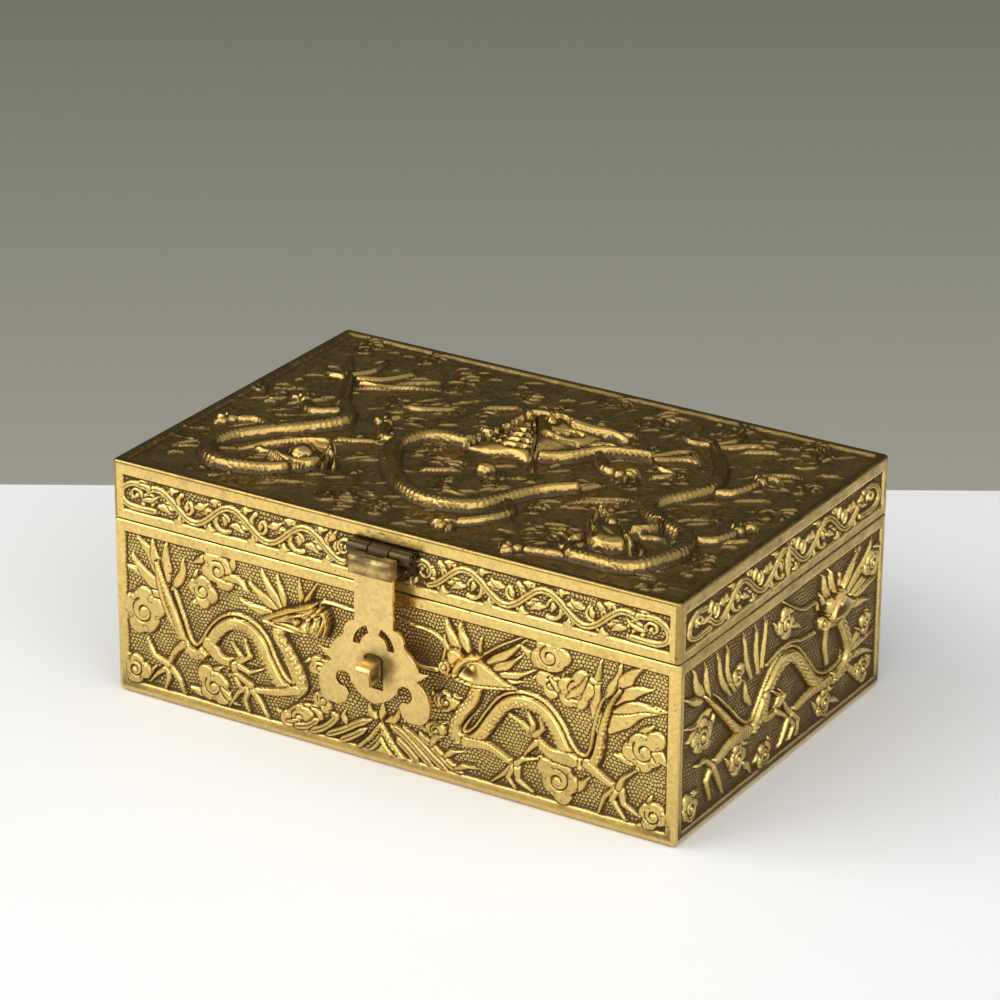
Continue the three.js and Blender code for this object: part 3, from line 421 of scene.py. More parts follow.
    def wear(self, dents, pits):
        """Uneven rails, shallow dents and small casting pits, fading out at the edges of the face."""
        margin_u = np.minimum(self.grid_u - self.u[0], self.u[-1] - self.grid_u)
        margin_v = np.minimum(self.grid_v - self.v[0], self.v[-1] - self.grid_v)
        fade = smoothstep(np.minimum(margin_u, margin_v) / 0.8)
        rough = self.random.normal(0, 1, self.h.shape)
        waves = blurred(rough, 2.2 / self.step) * 0.35 + blurred(rough, 0.7 / self.step) * 0.05
        for _ in range(dents):
            self.pit(self.random.uniform(0.6, 2.2), self.random.uniform(0.04, 0.16), waves)
        for _ in range(pits):
            self.pit(self.random.uniform(0.25, 0.55), self.random.uniform(0.1, 0.3), waves)
        self.h = self.h + waves * fade

    def pit(self, radius, depth, onto):
        cu = self.random.uniform(self.u[0], self.u[-1])
        cv = self.random.uniform(self.v[0], self.v[-1])
        window = self.window((cu - radius, cv - radius), (cu + radius, cv + radius))
        away = np.hypot(self.grid_u[window] - cu, self.grid_v[window] - cv) / radius
        onto[window] -= depth * smoothstep(1 - away)

    def patina_and_shade(self):
        """How dark each cell is: patina in crevices and on low ground, painted shade near tall forms, and the
        painted shade laid on the face.
        """
        fine = blurred(self.h, 0.3 / self.step) - self.h
        # Painted shade: cells near tall forms are darkened as if shaded by them.
        wide = blurred(self.h, 2.6 / self.step) - self.h
        low = np.clip(-self.h / abs(self.ground), 0, 1.4)
        return np.clip(2.4 * fine + 0.17 * wide + 0.12 * low + self.painted_shade, -0.6, 1.6)


# Figures

def wedge_head(face):
    """The left dragon's head: a wedge that rises to a curled lip, hollow between its ridges, with fangs."""
    rim = [(-37, 31.2), (-32.4, 34.4), (-27, 37.4), (-22, 39.8), (-18.4, 41), (-18, 39), (-17.2, 36),
           (-18.2, 32.6),
           (-20.6, 31), (-29, 30.8)]

    def swell(uu, vv):
        climb = 1.7 * smoothstep((uu + 36) / 15)
        middle = 33.4 + (uu + 29) * 0.3
        hollow = 1.5 * np.exp(-((vv - middle) / 1.5) ** 2) * smoothstep((uu + 32) / 6)
        return climb - hollow

    face.outline(rim, 1.9, rounding=1.8, crown=0.5, detail=swell)
    for points, half, low, high in (
            ([(-36.6, 31.6), (-31.6, 34.6), (-26, 37.4), (-21.6, 39.4), (-18.6, 40.6)], 0.85, 1.8, 4.4),
            ([(-36.4, 31.3), (-30, 31.1), (-23.6, 31.3), (-20.2, 32)], 0.6, 1.6, 3.6),
            ([(-18.6, 40.6), (-18.7, 38.8), (-20.4, 37.2)], 0.8, 4.4, 4.0),
            ([(-28, 35), (-25.6, 36), (-23, 36.9)], 0.6, 3.4, 4.0),
            ([(-17.2, 38.6), (-16.5, 35.4), (-17.8, 31.8)], 0.75, 3.6, 2.8),
            ([(-21.7, 36), (-22, 34), (-21.4, 31.8)], 0.55, 3.9, 3.0),
            ([(-19.2, 36.8), (-19, 35), (-19.6, 33)], 0.6, 4.0, 3.2)):
        line = spline(points, 0.4)
        face.stroke(line, lambda t: half * (1 - 0.3 * t), lambda t: low + (high - low) * t, crown=0.55)
    face.bead((-25.6, 34.2), 1.0, 3.6)
    face.groove(arc_points((-25.6, 34.2), 1.15, 0, 1, inner=0.98), 0.35, 0.5)
    face.groove(spline([(-34, 32), (-29, 32.8), (-24.4, 32.8)], 0.4), 0.4, 0.5)


def crescent_head(face, at, size, facing):
    """A head with a bright crescent of a cheek over a hollow, a ringed nostril and tall hatched ears."""
    def place(u, v):
        return at[0] + facing * size * u, at[1] + size * v

    def line(points):
        return spline([place(*p) for p in points], 0.4)

    for root, tip, width in (((4.4, 4.4), (8.4, 12.4), 2.8), ((2.2, 5.2), (4.6, 12.4), 2.6),
                             ((6, 3), (9.2, 8), 1.6)):
        face.leaf(place(*root), place(*tip), width * size, 0.1, 1.8, 0.1)
    face.stroke(line([(-0.4, 4.4), (-5, 8), (-11.2, 11.8)]), lambda t: 0.5 - 0.2 * t, 1.5)
    face.stroke(line([(-0.6, 5), (-0.5, 7), (-0.8, 9)]), lambda t: 0.5 - 0.2 * t, 1.5)
    rim = [(0.2, 4.8), (3.4, 4.2), (6.8, 3.4), (7.2, 1.6), (6, 0), (5.4, -2), (0.9, -2.9), (-5, -2.4),
           (-10.4, -1.4),
           (-6, 1.0), (-2.6, 3.2)]

    def bowl(uu, vv):
        u = facing * (uu - at[0]) / size
        v = (vv - at[1]) / size
        hollow = 2.1 * np.exp(-((u - 2.4) / 2.6) ** 2 - ((v - 0.2) / 1.6) ** 2)
        return 0.9 * smoothstep((u + 8) / 12) - hollow

    face.outline([place(*p) for p in rim], 2.2, rounding=1.6, crown=0.4, detail=bowl)
    face.outline([place(*p) for p in ((2.6, 3.6), (5, 5.6), (7.4, 4.6), (7, 1.6), (5, 1.6))], 3.2,
                 rounding=1.2)
    for points, half, low, high in (
            ([(-0.8, 4.8), (1.8, 4.0), (4.2, 1.8), (5.5, -0.8), (5, -2)], 1.0, 3.4, 3.6),
            ([(5.2, -1.8), (1, -2.6), (-4, -2.1), (-9.6, -1.2)], 0.6, 3.2, 1.6),
            ([(5.6, -0.6), (7.4, -1.8), (9.6, -1.2)], 0.55, 3.0, 2.6)):
        face.stroke(line(points), lambda t: half * size * (1 - 0.3 * abs(2 * t - 1)),
                    lambda t: low + (high - low) * t, crown=0.6)
    face.bead(place(8.5, -0.1), 1.7 * size, 2.9)
    face.groove(arc_points(place(8.5, -0.1), 0.75 * size, 0, 1, inner=0.98), 0.6, 0.9)
    face.bead(place(0.6, 2.0), 0.9 * size, 3.2)


def clouds_on(face, rows):
    for centre, radius, lobes, start, turn in rows:
        for spin in (start + 25, start + 150):
            angle = math.radians(spin)
            tip = (centre[0] + 1.5 * radius * math.cos(angle), centre[1] + 1.2 * radius * math.sin(angle))
            face.leaf(centre, tip, radius * 0.62, 0.22 * turn, 1.15)
        face.cloud(centre, radius, lobes, start, turn)


def leaves_on(face, rows, rise=1.2):
    for root, tip, width, bend in rows:
        face.leaf(root, tip, width, bend, rise)


FRONT_LEFT = [
    (-69, 39.5), (-66.5, 33), (-63.4, 25), (-61, 18.8), (-57.5, 16.8), (-54.5, 18.6), (-50.5, 24.8),
    (-46.5, 28), (-42, 28.2), (-38, 25.6), (-35.4, 20.5), (-32, 15.4), (-28, 13.6), (-25.2, 15.6),
    (-26.2, 20), (-29.4, 25), (-31.8, 28.4), (-31.6, 31.5),
]
FRONT_RIGHT = [
    (66.8, 38.8), (64, 34), (62, 27), (60.8, 20), (58.6, 16.6), (55, 16.4), (51.6, 19), (48.4, 24.4),
    (44.5, 28), (39.5, 28.6), (34.8, 26.6), (31.2, 22), (28, 17), (24.6, 14), (21.4, 14), (20.2, 17),
    (22.4, 21.4), (25.4, 25.6), (26.4, 30),
]
END_SPINE = [
    (-41.5, 36), (-36, 31), (-30, 25.4), (-25, 20.6), (-20.5, 17.6), (-16, 17.4), (-12.4, 20.4), (-8.6, 25),
    (-4, 28.6), (1.5, 29.4), (6, 27), (11, 21.6), (15.6, 16.8), (21, 14.2), (27.5, 13.6), (32.4, 15),
    (34, 19), (32, 24), (29, 29),
]


def front_figures(face):
    # Flames and reeds that lie under the bodies
    leaves_on(face, [
        ((-66.5, 33), (-75.5, 45.6), 4.6, -0.06), ((-66.8, 29.4), (-79.6, 36.6), 4.2, -0.1),
        ((-67.4, 31.5), (-77.6, 40.2), 3.6, 0.08), ((-66, 35), (-66.4, 46), 3.2, 0.05),
        ((-64.6, 33), (-61.2, 43), 2.8, -0.1), ((-69, 37), (-70.8, 46), 2.8, 0.05),
        ((-31, 35.6), (-37.6, 45.4), 2.6, 0.05), ((-32, 35), (-41.6, 41.2), 2.8, 0.05),
        ((-33, 33.4), (-45, 35.8), 2.8, 0.06), ((-30, 36.5), (-33, 45.4), 2.0, 0.0),
        ((-25, 37.6), (-26.2, 45.6), 1.7, 0.0), ((-24.6, 38), (-20.4, 45.6), 1.9, 0.0),
        ((28, 35.4), (40.4, 45.4), 2.8, -0.04), ((29.5, 34), (39, 40.6), 2.9, -0.05),
        ((30.5, 33), (42.8, 37.6), 2.6, -0.05), ((31, 31.6), (40, 33.8), 2.0, 0.0),
        ((60.4, 26), (61.2, 46), 3.4, 0.06), ((62.6, 36), (66.6, 46), 3.4, -0.1),
        ((66.4, 37.6), (72.8, 46), 4.0, 0.1), ((65.6, 34.5), (75.8, 41), 4.0, 0.1),
        ((63.6, 27.5), (79.8, 36), 6.2, 0.14), ((65, 32.6), (79.4, 35.4), 3.2, 0.1),
    ])
    clouds_on(face, [
        ((-73.8, 24.6), 7.4, 5, 20, 1), ((-50.4, 41.6), 5.6, 4, 30, -1), ((-55.4, 34.8), 4.8, 4, 80, 1),
        ((-52.4, 8.8), 5.6, 4, 45, 1), ((-77, 7.6), 4.8, 4, 0, -1), ((-26.4, 6.8), 5.0, 4, 20, 1),
        ((46.8, 42.4), 5.8, 4, 20, 1), ((47.2, 35), 3.9, 3, 30, -1), ((54.4, 35), 5.7, 5, 10, 1),
        ((73.4, 24), 6.5, 5, 50, 1), ((49.6, 9.8), 6.5, 5, 0, -1), ((76.2, 7.4), 4.6, 4, 70, 1),
        ((17.4, 22.6), 3.6, 4, 0, 1), ((-19.6, 22.4), 3.8, 4, 30, -1), ((14.4, 14), 3.4, 3, 20, 1),
        ((-19, 13.6), 3.4, 3, 60, 1),
    ])
    leaves_on(face, [
        ((-48.6, 40), (-41, 37.4), 2.6, 0.2), ((-50, 9), (-44.6, 5), 2.2, -0.1),
        ((76, 24), (79.6, 21.6), 3.6, 0.1),
        ((52, 33), (57.6, 40.4), 2.6, -0.1), ((-30, 5), (-21.4, 4.6), 2.0, 0.1), ((72, 19), (71, 18), 2, 0),
    ])
    mountain(face)
    # Tail, body and fin of each dragon
    tail = spline([(-69.4, 39), (-68.6, 32), (-66, 25), (-62.6, 20.4), (-59.6, 19)], 0.5)
    face.stroke(tail, lambda t: 0.9 - 0.4 * t, 1.2)
    for spine, side in ((FRONT_LEFT, 1), (FRONT_RIGHT, -1)):
        line = face.body(spine, 3.6, 2.3, scales=0.46, lean=side)
        face.ribbon(line, side * 2.45, 1.15, 1.35, 0.8, 0.04, 0.93)
    # Legs and feet
    face.leg(
        [(-61.4, 18.6), (-64.4, 15.4), (-66.4, 11)], 2.6, 1.7, 0.16,
        [(-66, 11), (-69.6, 8.4), (-72.4, 5.2)], [(-66.4, 10.6), (-66.6, 7.4), (-67.6, 4.3)],
        [(-65.6, 10.6), (-63, 8), (-61.6, 4.4)], [(-66.6, 11.4), (-70.8, 13), (-73, 17.4)],
    )
    face.leg(
        [(-53.6, 20.4), (-50, 17.4), (-45.6, 17)], 4.2, 1.8, 0.2,
        [(-46, 17), (-43.8, 19.4), (-46.4, 22.6)], [(-45.6, 17), (-41, 20), (-42.6, 24.4)],
        [(-45.4, 16.8), (-41.4, 15.6), (-37.2, 17.4)], [(-46, 16.6), (-45.6, 13.2), (-43.6, 9.6)],
    )
    face.leg(
        [(-26.6, 14.4), (-33.6, 12.2), (-40.4, 11.2)], 3.2, 1.8, 0.16,
        [(-40.6, 11.6), (-44.6, 9.4), (-47.8, 4.4)], [(-41.4, 11.2), (-42.8, 7.4), (-41.4, 4.3)],
        [(-40.6, 11), (-38, 8), (-35.6, 4.3)], [(-41, 12), (-45, 14.2), (-48, 13.4)],
    )
    face.leg(
        [(23.4, 13.4), (30, 13.8), (37.4, 10.8)], 3.4, 1.8, 0.2,
        [(37.2, 11), (34.6, 8), (30.4, 4.4)], [(37.4, 10.6), (35.4, 7), (37.6, 4.3)],
        [(37.8, 10.6), (38.2, 7), (42.6, 4.8)], [(37.8, 11.4), (39.6, 13), (43.8, 14.2)],
    )
    face.leg(
        [(53.4, 16.6), (47.6, 16.8), (43, 19.8)], 4.4, 1.8, 0.2,
        [(42.6, 20), (39.6, 22.6), (35.4, 24.4)], [(42.4, 20.4), (42.4, 23), (40.8, 26.2)],
        [(43, 20.4), (45.2, 22.6), (44.2, 26.6)], [(43.4, 18.6), (40.8, 15.4), (40, 14)],
    )
    face.leg(
        [(57.8, 16.6), (62, 14.2), (66.4, 12.2)], 3.2, 1.8, 0.2,
        [(66, 12.2), (62.8, 9.4), (61, 4.2)], [(66.4, 11.8), (64.8, 9), (68.8, 4.2)],
        [(67.2, 12), (68, 8.6), (73, 6.2)], [(66.6, 12.6), (67.6, 15.2), (71.4, 18.4)],
    )
    wedge_head(face)
    crescent_head(face, (26.6, 32.6), 1.08, -1)
    # Painted shade round the two high heads and below the left one, round the hasp plate, and in the lower
    # corners.
    face.paint_shade((-26, 34), 8, 0.3, 0.6)
    face.paint_shade((24, 32), 8, 0.26, 0.6)
    face.paint_shade((-30, 24), 6, 0.14)
    face.paint_shade((1, 29), 19, 0.34, 0.9)
    for corner in (-80, 80):
        face.paint_shade((corner, 3), 9, 0.12)
    # Long whiskers over the ground
    for points in ([(-19.6, 38.6), (-19, 40.4), (-15.6, 40.8), (-10, 40.5), (-5, 40.6)],
                   [(16.4, 34), (17, 38), (13.4, 40.4), (8, 41), (3, 42)],
                   [(14.6, 30.6), (10, 30.4), (7, 31.6), (4.6, 34)]):
        face.stroke(spline(points, 0.4), lambda t: 0.75 - 0.35 * t, 1.1)


def mountain(face):
    """A peak of nested bands above rolling waves that slant down to both sides."""
    waves = [
        [(-28, 4.2), (-23.6, 5.4), (-20.6, 7.8)], [(-23, 3.9), (-18.4, 6.4), (-15.4, 9.6), (-16.8, 10.8)],
        [(-18.4, 4.2), (-12.8, 7.1), (-8.6, 9.9), (-5.0, 11.6)], [(-14, 3.8), (-10, 6.2), (-6.4, 8.8)],
        [(9.4, 12.0), (14, 9.0), (17.8, 6.2), (22, 4.2)], [(4.6, 12.4), (9.4, 9.6), (13.6, 6.4), (17.6, 3.9)],
        [(0.6, 12.4), (5.2, 10.2), (9.8, 6.6), (13.4, 3.8)], [(2.8, 8.8), (6.2, 6.4), (9.2, 3.8)],
    ]
    for points in waves:
        line = spline(points, 0.4)
        face.stroke(line, lambda t: 1.1 * np.clip(np.minimum(t, 1 - t) * 5 + 0.35, 0, 1), 1.4, crown=0.4)
        face.groove(line, 0.34, 0.6)
    leaves_on(face, [
        ((13, 9.6), (17.4, 13), 2.2, 0.2), ((17, 7.4), (22.6, 10), 2.2, 0.15), ((20, 5), (27, 6.6), 2.0, 0.1),
        ((-19.6, 8), (-23.4, 10.6), 2.0, -0.2), ((-12, 9), (-12.6, 12.6), 1.8, 0.2),
    ])
    peak = [(-9.6, 3.4), (-4.8, 8), (-1.5, 13), (1.8, 8), (6.6, 3.4)]
    face.outline(peak, 1.1, rounding=0.8, smooth=False)
    for share, half in ((0.88, 0.75), (0.46, 0.6)):
        band = [(-1.5 + (u + 1.5) * share, 3.2 + (v - 3.2) * share) for u, v in peak]
        line = spline(band, smooth=False)
        face.stroke(line, lambda t: half + 0 * t, 1.9, crown=0.3)
    for n in range(7):
        v = 4.0 + n * 1.05
        reach = 5.6 - n * 0.76
        for side in (-1, 1):
            face.groove(spline([(-1.5 + side * reach, v), (-1.5 + side * (reach - 1.3), v - 0.2)], 0.3),
                        0.34, 0.7)
    leaves_on(face, [((-3, 12.8), (-5.4, 16.6), 2.4, 0.2), ((0, 12.8), (3.4, 16.8), 2.6, -0.2),
                     ((-1.6, 13), (-1.2, 18), 2.2, 0.0)])


def end_figures(face, quiet=False):
    leaves_on(face, [
        ((-40.5, 35), (-50.6, 38.6), 3.0, 0.05), ((-41, 36), (-46.6, 45.4), 3.2, 0.1),
        ((-37, 31.5), (-50.6, 30.6), 3.0, 0.12), ((-38.5, 34.6), (-40.6, 44.8), 2.4, 0.06),
        ((-28, 30.8), (-34.6, 45.4), 2.2, 0.1), ((-25.6, 31), (-30, 45.4), 2.2, 0.12),
        ((-17.4, 31), (-21.6, 45.6), 2.0, 0.06), ((-14, 31), (-15, 45.6), 2.0, 0.05),
        ((-12, 31.8), (-10.2, 45.6), 2.0, 0.0), ((-17.6, 24), (-20.6, 32), 2.4, 0.1),
        ((33, 34.6), (47, 44.8), 2.8, -0.06), ((35, 33), (50.4, 40), 2.8, -0.08),
        ((36, 31.4), (50.6, 33.4), 2.8, 0.0),
        ((36, 29.4), (47, 27.4), 2.8, 0.06), ((30.5, 36), (38.4, 45.4), 2.4, -0.06),
        ((24, 38), (22, 45.4), 2.0, -0.1),
        ((36, 18), (45.6, 26), 2.6, -0.1), ((36, 17), (50.6, 18.4), 2.6, 0.0),
        ((36, 15), (50.4, 11), 2.6, 0.08),
        ((34, 14), (42, 5.4), 2.4, 0.05),
    ])
    if not quiet:
        clouds_on(face, [
            ((-41.5, 25.2), 5.4, 5, 20, -1), ((-47, 8.2), 4.4, 4, 20, 1), ((-23.4, 11.6), 4.6, 4, 0, 1),
            ((-9.4, 7), 3.8, 4, 40, -1), ((22, 8), 4.4, 5, 0, 1), ((43.4, 9), 4.2, 4, 20, -1),
            ((46.6, 37.6), 4.6, 4, 20, 1), ((0, 38.6), 4.6, 4, 0, 1), ((-24.4, 34.4), 3.2, 3, 40, -1),
            ((44, 22), 3.2, 3, 30, 1),
        ])
        leaves_on(face, [((-20, 9), (-16.4, 4.4), 2.6, 0.1), ((3, 37), (8.6, 34), 2.2, 0.1),
                         ((26, 7), (31, 4.4), 2.2, 0.1)])
    line = face.body(END_SPINE, 3.6, 2.3, scales=0.46)
    face.ribbon(line, 2.6, 1.2, 1.35, 0.8, 0.04, 0.93)
    face.leg(
        [(-19, 17.4), (-27, 17.6), (-36.6, 15.4)], 4.2, 1.8, 0.2,
        [(-36.6, 15.6), (-39.4, 12.4), (-37.4, 6.4)], [(-36, 15), (-34, 11.6), (-31, 5.6)],
        [(-37, 16), (-40, 18.4), (-44.6, 18.4)],
    )
    face.leg(
        [(-9.6, 23), (-10.4, 17.6), (-4.6, 16.6)], 3.8, 1.8, 0.2,
        [(-4.6, 16.8), (-2.6, 20.4), (-5.6, 22.6)], [(-4, 17), (0.4, 19.2), (-2.4, 21.8)],
        [(-4, 16.4), (0, 14), (3.2, 10.8)],
    )
    face.leg(
        [(24, 13.6), (14, 14.2), (3.6, 12.8)], 3.6, 1.8, 0.2,
        [(3.6, 12.8), (1, 9.4), (-2.4, 5.6)], [(3.8, 12.4), (5.6, 8.6), (3.2, 5.4)],
        [(4.2, 12.6), (8, 9.6), (7.4, 5)], [(3.6, 13.2), (1.4, 15.4), (0.2, 17.4)],
    )
    crescent_head(face, (27.6, 32), 1.08, -1)
    # Painted shade round the high head.
    face.paint_shade((26, 31), 9, 0.26, 0.7)
    for points in ([(17.4, 36), (16, 38.2), (10, 38.8), (4.6, 41.4), (-1, 45)],
                   [(16, 30), (9, 30.8), (3, 32.6), (-3, 32.4), (-9, 31)]):
        face.stroke(spline(points, 0.4), lambda t: 0.7 - 0.3 * t, 1.1)
    face.limb([(22, 28.4), (21.6, 24), (23, 18.6)], 2.2, 1.4, 0.1)


def vine(face, start, end, crest, period=22.4, flip=1):
    """A waving double stem with a curled branch and a lobed leaf in each pocket."""
    middle = (VINE_LOW + VINE_HIGH) / 2
    swing = (VINE_HIGH - VINE_LOW) / 2
    u = np.arange(start, end + 0.1, 1.0)
    wave = middle + swing * np.cos(2 * np.pi * (u - crest) / period)
    stem = np.column_stack([u, wave])
    first = math.floor((start - crest) / (period / 2))
    last = math.ceil((end - crest) / (period / 2))
    for n in range(first, last + 1):
        centre = crest + n * period / 2
        if centre < start - 1 or centre > end + 1:
            continue
        up = 1 if n % 2 == 0 else -1
        # A pocket lies under a crest or over a trough
        heart = (centre - flip * 2.2, middle - up * 0.7)
        root = (centre + flip * 0.4, middle - up * 1.2)
        for along, over, width, bend in ((6.6, 2.4, 2.5, -0.16), (7.0, -0.6, 2.2, -0.05),
                                         (4.4, -2.9, 2.3, 0.1)):
            face.leaf(root, (centre + flip * along, middle + up * over), width, bend * up * flip, 1.0, 0.03)
        begin = (-90 if up > 0 else 90) + 30 * flip
        face.stroke(arc_points(heart, 3.0, begin, -0.8 * up * flip, inner=0.5), lambda t: 0.75 - 0.2 * t,
                    1.1, crown=0.4)
        face.leaf((heart[0], heart[1] + up * 1.2), (heart[0] + flip * 0.6, heart[1] - up * 1.6), 1.8, 0.1,
                  1.0)
        for offset in (-1, 1):
            edge = middle + up * (swing + 0.9)
            stalk = (centre + offset * 3.0, middle + up * swing * 0.72)
            face.leaf(stalk, (centre + offset * 6.6, edge), 2.6, 0.15 * up * offset, 1.0)
            face.leaf(stalk, (centre + offset * 3.6, edge), 1.9, 0, 0.95)
    line = spline(stem, 0.5)
    face.stroke(line, lambda t: 0.98 + 0 * t, 1.2, crown=0.3)
    face.groove(line, 0.34, 0.6)


def end_loop(face, at, side):
    """The long loop a stem ends in, folded round a small leaf."""
    middle = (VINE_LOW + VINE_HIGH) / 2
    half = (VINE_HIGH - VINE_LOW) / 2
    loop = [(0.6, 0.9), (5.4, 1), (8.6, 0.4), (8.8, -0.5), (5.6, -1), (-1.0, -0.96)]
    line = spline([(at + side * along, middle + half * over) for along, over in loop], 0.5)
    face.stroke(line, lambda t: 0.9 + 0 * t, 1.1, crown=0.35)
    face.groove(line, 0.36, 0.5)
    face.curl((at + side * 4.6, middle + 0.3), 2.1, 200 if side > 0 else -20, -side * 1.0, 1.1, 1.0)
    face.leaf((at + side * 2.4, middle - 0.6), (at - side * 2.8, middle + 1.4), 1.9, 0.1 * side, 0.9)


def front_vine(face):
    vine(face, -71.5, -12.4, -68.8)
    end_loop(face, -71, -1)
    vine(face, 12.4, 70.5, 22.8, flip=-1)
    end_loop(face, 70.2, 1)
    face.curl((10.8, 56.4), 3.1, 170, -1.1, 1.2, 1.05)
    face.curl((-12.4, 56.8), 2.6, 30, 1.0, 1.2, 1.05)
    face.leaf((-16.6, 57.8), (-14.6, 61), 2.2, 0, 1.0)
    # Painted shade round the hasp's hinge under its head, and a painted shadow beside the hasp.
    face.paint_shade((HASP_X, 58), 15, 0.6, 0.35)
    face.paint_shade((HASP_X + 7, 54), 6, 0.3, 0.7)


def end_vine(face):
    vine(face, -40, 40, -23.5, period=22.0)
    end_loop(face, -40, -1)
    end_loop(face, 40, 1)
    face.leaf((0.4, 52), (0.2, 61), 3.0, 0, 1.1)


def pearl(face, at, radius):
    face.bead(at, radius, 1.8)
    face.groove(arc_points(at, radius * 0.75, 0, 1.2), 0.4, 0.4)
    for degrees in (40, 65, 90, 115, 140):
        angle = math.radians(degrees)
        reach = radius * (2.4 + 0.5 * math.sin(angle * 3))
        root = (at[0] + radius * math.cos(angle), at[1] + radius * math.sin(angle))
        face.leaf(root, (at[0] + reach * math.cos(angle), at[1] + reach * math.sin(angle)), 2.6, 0.1)


# Lid top

TOP_MIDDLE = [
    (32.5, 18.8), (26, 17.2), (20.1, 14.8), (13.2, 6.6), (5.8, 4.2), (-2, 3.6), (-10.1, 3.5), (-20.2, 2.6),
    (-24.8, -1.9), (-26, -10.5), (-19.1, -21.6), (-9.4, -30.6), (-0.1, -33.6), (9.9, -31), (14.9, -22.6),
    (19.9, -14.2), (26.5, -8.2),
]
TOP_LEFT = [
    (-62.5, 24.9), (-57.6, 15.4), (-54.2, 7.7), (-49.8, 4.7), (-46.6, -1.4), (-48.4, -5.7), (-53.4, -12.1),
    (-60, -18.7), (-65.5, -26.2), (-66.6, -34.2), (-60.4, -40.8), (-49.9, -40.6), (-43, -37), (-41, -32),
]
TOP_RIGHT = [
    (42.2, 35.1), (47.4, 28.3), (51.6, 21.7), (55.1, 10.3), (52.9, 3), (48.6, -5.2), (49.6, -11.4),
    (57.6, -16.4), (64.6, -19.6), (67.4, -28.2), (64.7, -37.6), (60.1, -42.5), (52.7, -43.1), (45.6, -42.6),
    (43, -36), (44.6, -31),
]


TOP_GLINTS = [
    ((-58.3, 18.6), (-37.3, 31.0), 0.8), ((-66.6, 1.6), (-57.3, 10.0), 0.9),
    ((-39.4, 14.8), (-26.8, 20.4), 1.5),
    ((-69.9, -19.9), (-60.5, -13.1), 0.8), ((-43.3, -13.4), (-30.9, -7.8), 0.8),
    ((-13.3, -17.6), (-4.5, -12.7), 1.0),
    ((49.4, 35.3), (58.8, 40.5), 0.8), ((29.3, -13.1), (43.4, -5.2), 0.6), ((28.3, -15.6), (41.4, -8.2), 0.6),
    ((24.3, -11.8), (30.8, -0.9), 0.9), ((73.2, -16.7), (78.4, -12.2), 0.9), ((38.4, 8.4), (42.9, 13.2), 1.0),
    ((-33.8, -4.5), (-31.1, -1.6), 1.3), ((-61.5, 7.4), (-56, 12.2), 0.9),
    ((-50.3, 26.4), (-38.5, 35.5), 0.7),
    ((7.8, 1.4), (11.8, -4.4), 0.7), ((-22, 25), (-12.5, 31), 0.8), ((60.5, 24.5), (70.5, 29.5), 0.7),
]


def low_strokes(face, count):
    """Low ridges strewn over the ground, most of them drawn across the view, like wind over water."""
    for _ in range(count):
        cu = face.random.uniform(-77, 77)
        cv = face.random.uniform(-49, 49)
        angle = math.radians(face.random.normal(30, 13))
        half = face.random.uniform(1.4, 5.5) + (face.random.uniform(0,
                                                                    5) if face.random.random() < 0.25 else 0)
        bow = face.random.uniform(-0.6, 0.6)
        run = np.array([math.cos(angle), math.sin(angle)]) * half
        middle = np.array([cu, cv])
        bend = np.array([-run[1], run[0]]) / half * bow
        line = spline([middle - run, middle + bend, middle + run], 0.5)
        width = face.random.uniform(0.3, 0.7)
        rise = face.random.uniform(0.25, 0.85)
        face.stroke(line, lambda t: width * np.sin(np.pi * np.clip(t, 0.04, 0.96)), rise, crown=0.7, wall=0.5,
                    chase=0.1)


def swirl(face, centre, radius, start, turn, rise=0.7):
    """A faint cloud: a few curling ridges that trail off to one side."""
    face.stroke(arc_points(centre, radius, start, 1.2 * turn, inner=0.2), lambda t: 0.55 * (1.15 - 0.5 * t),
                rise,
                crown=0.7, wall=0.5, chase=0.1)
    for share in (0.75, 1.15, 1.5):
        a = math.radians(start + 50 * share * turn)
        root = (centre[0] + radius * math.cos(a), centre[1] + radius * math.sin(a))
        reach = radius * (0.9 + share)
        tip = (centre[0] + reach * math.cos(a - 0.7 * turn), centre[1] + reach * math.sin(a - 0.7 * turn))
        face.leaf(root, tip, 1.5, 0.25 * turn, rise, 0.02)


def scaled_body(face, spine, width, rise, thin=0.4):
    """A round body with rows of raised scales and a beaded belly."""
    line = spline(spine, 0.5)

    def half(t):
        start = thin + (1 - thin) * np.clip(t * 3.2, 0, 1)
        return width / 2 * start * (1 - 0.45 * np.clip((t - 0.82) * 5, 0, 1))

    def skin(across, along, share):
        row = along / 1.45
        phase = (across * 2.6 + 0.5 * (np.floor(row) % 2)) % 1
        scale = smoothstep(1.2 - np.hypot((phase - 0.5) * 2, (row % 1 - 0.45) * 2))
        hatch = np.abs(np.sin(np.pi * along / 1.45)) * smoothstep((abs(across) - 0.5) / 0.2)
        return 0.24 * scale + 0.34 * hatch - 0.28

    face.stroke(line, half, rise, crown=0.85, wall=0.7, detail=skin, chase=0.3)
    # Painted shade on the crest of the body, darkening its top.
    window, near, _, _, _ = face.trace(line, width / 2)
    face.painted_shade[window] += 0.5 * smoothstep(1.25 - near / (0.3 * width))
    return line


def ridge(face, points, width, rise, fall=0.5, crown=0.7):
    """A ridge whose height falls towards its end."""
    line = spline(points, 0.4)
    face.stroke(line, lambda t: width / 2 * (1 - 0.45 * t), lambda t: rise * (1 - fall * t), crown=crown,
                wall=0.5)


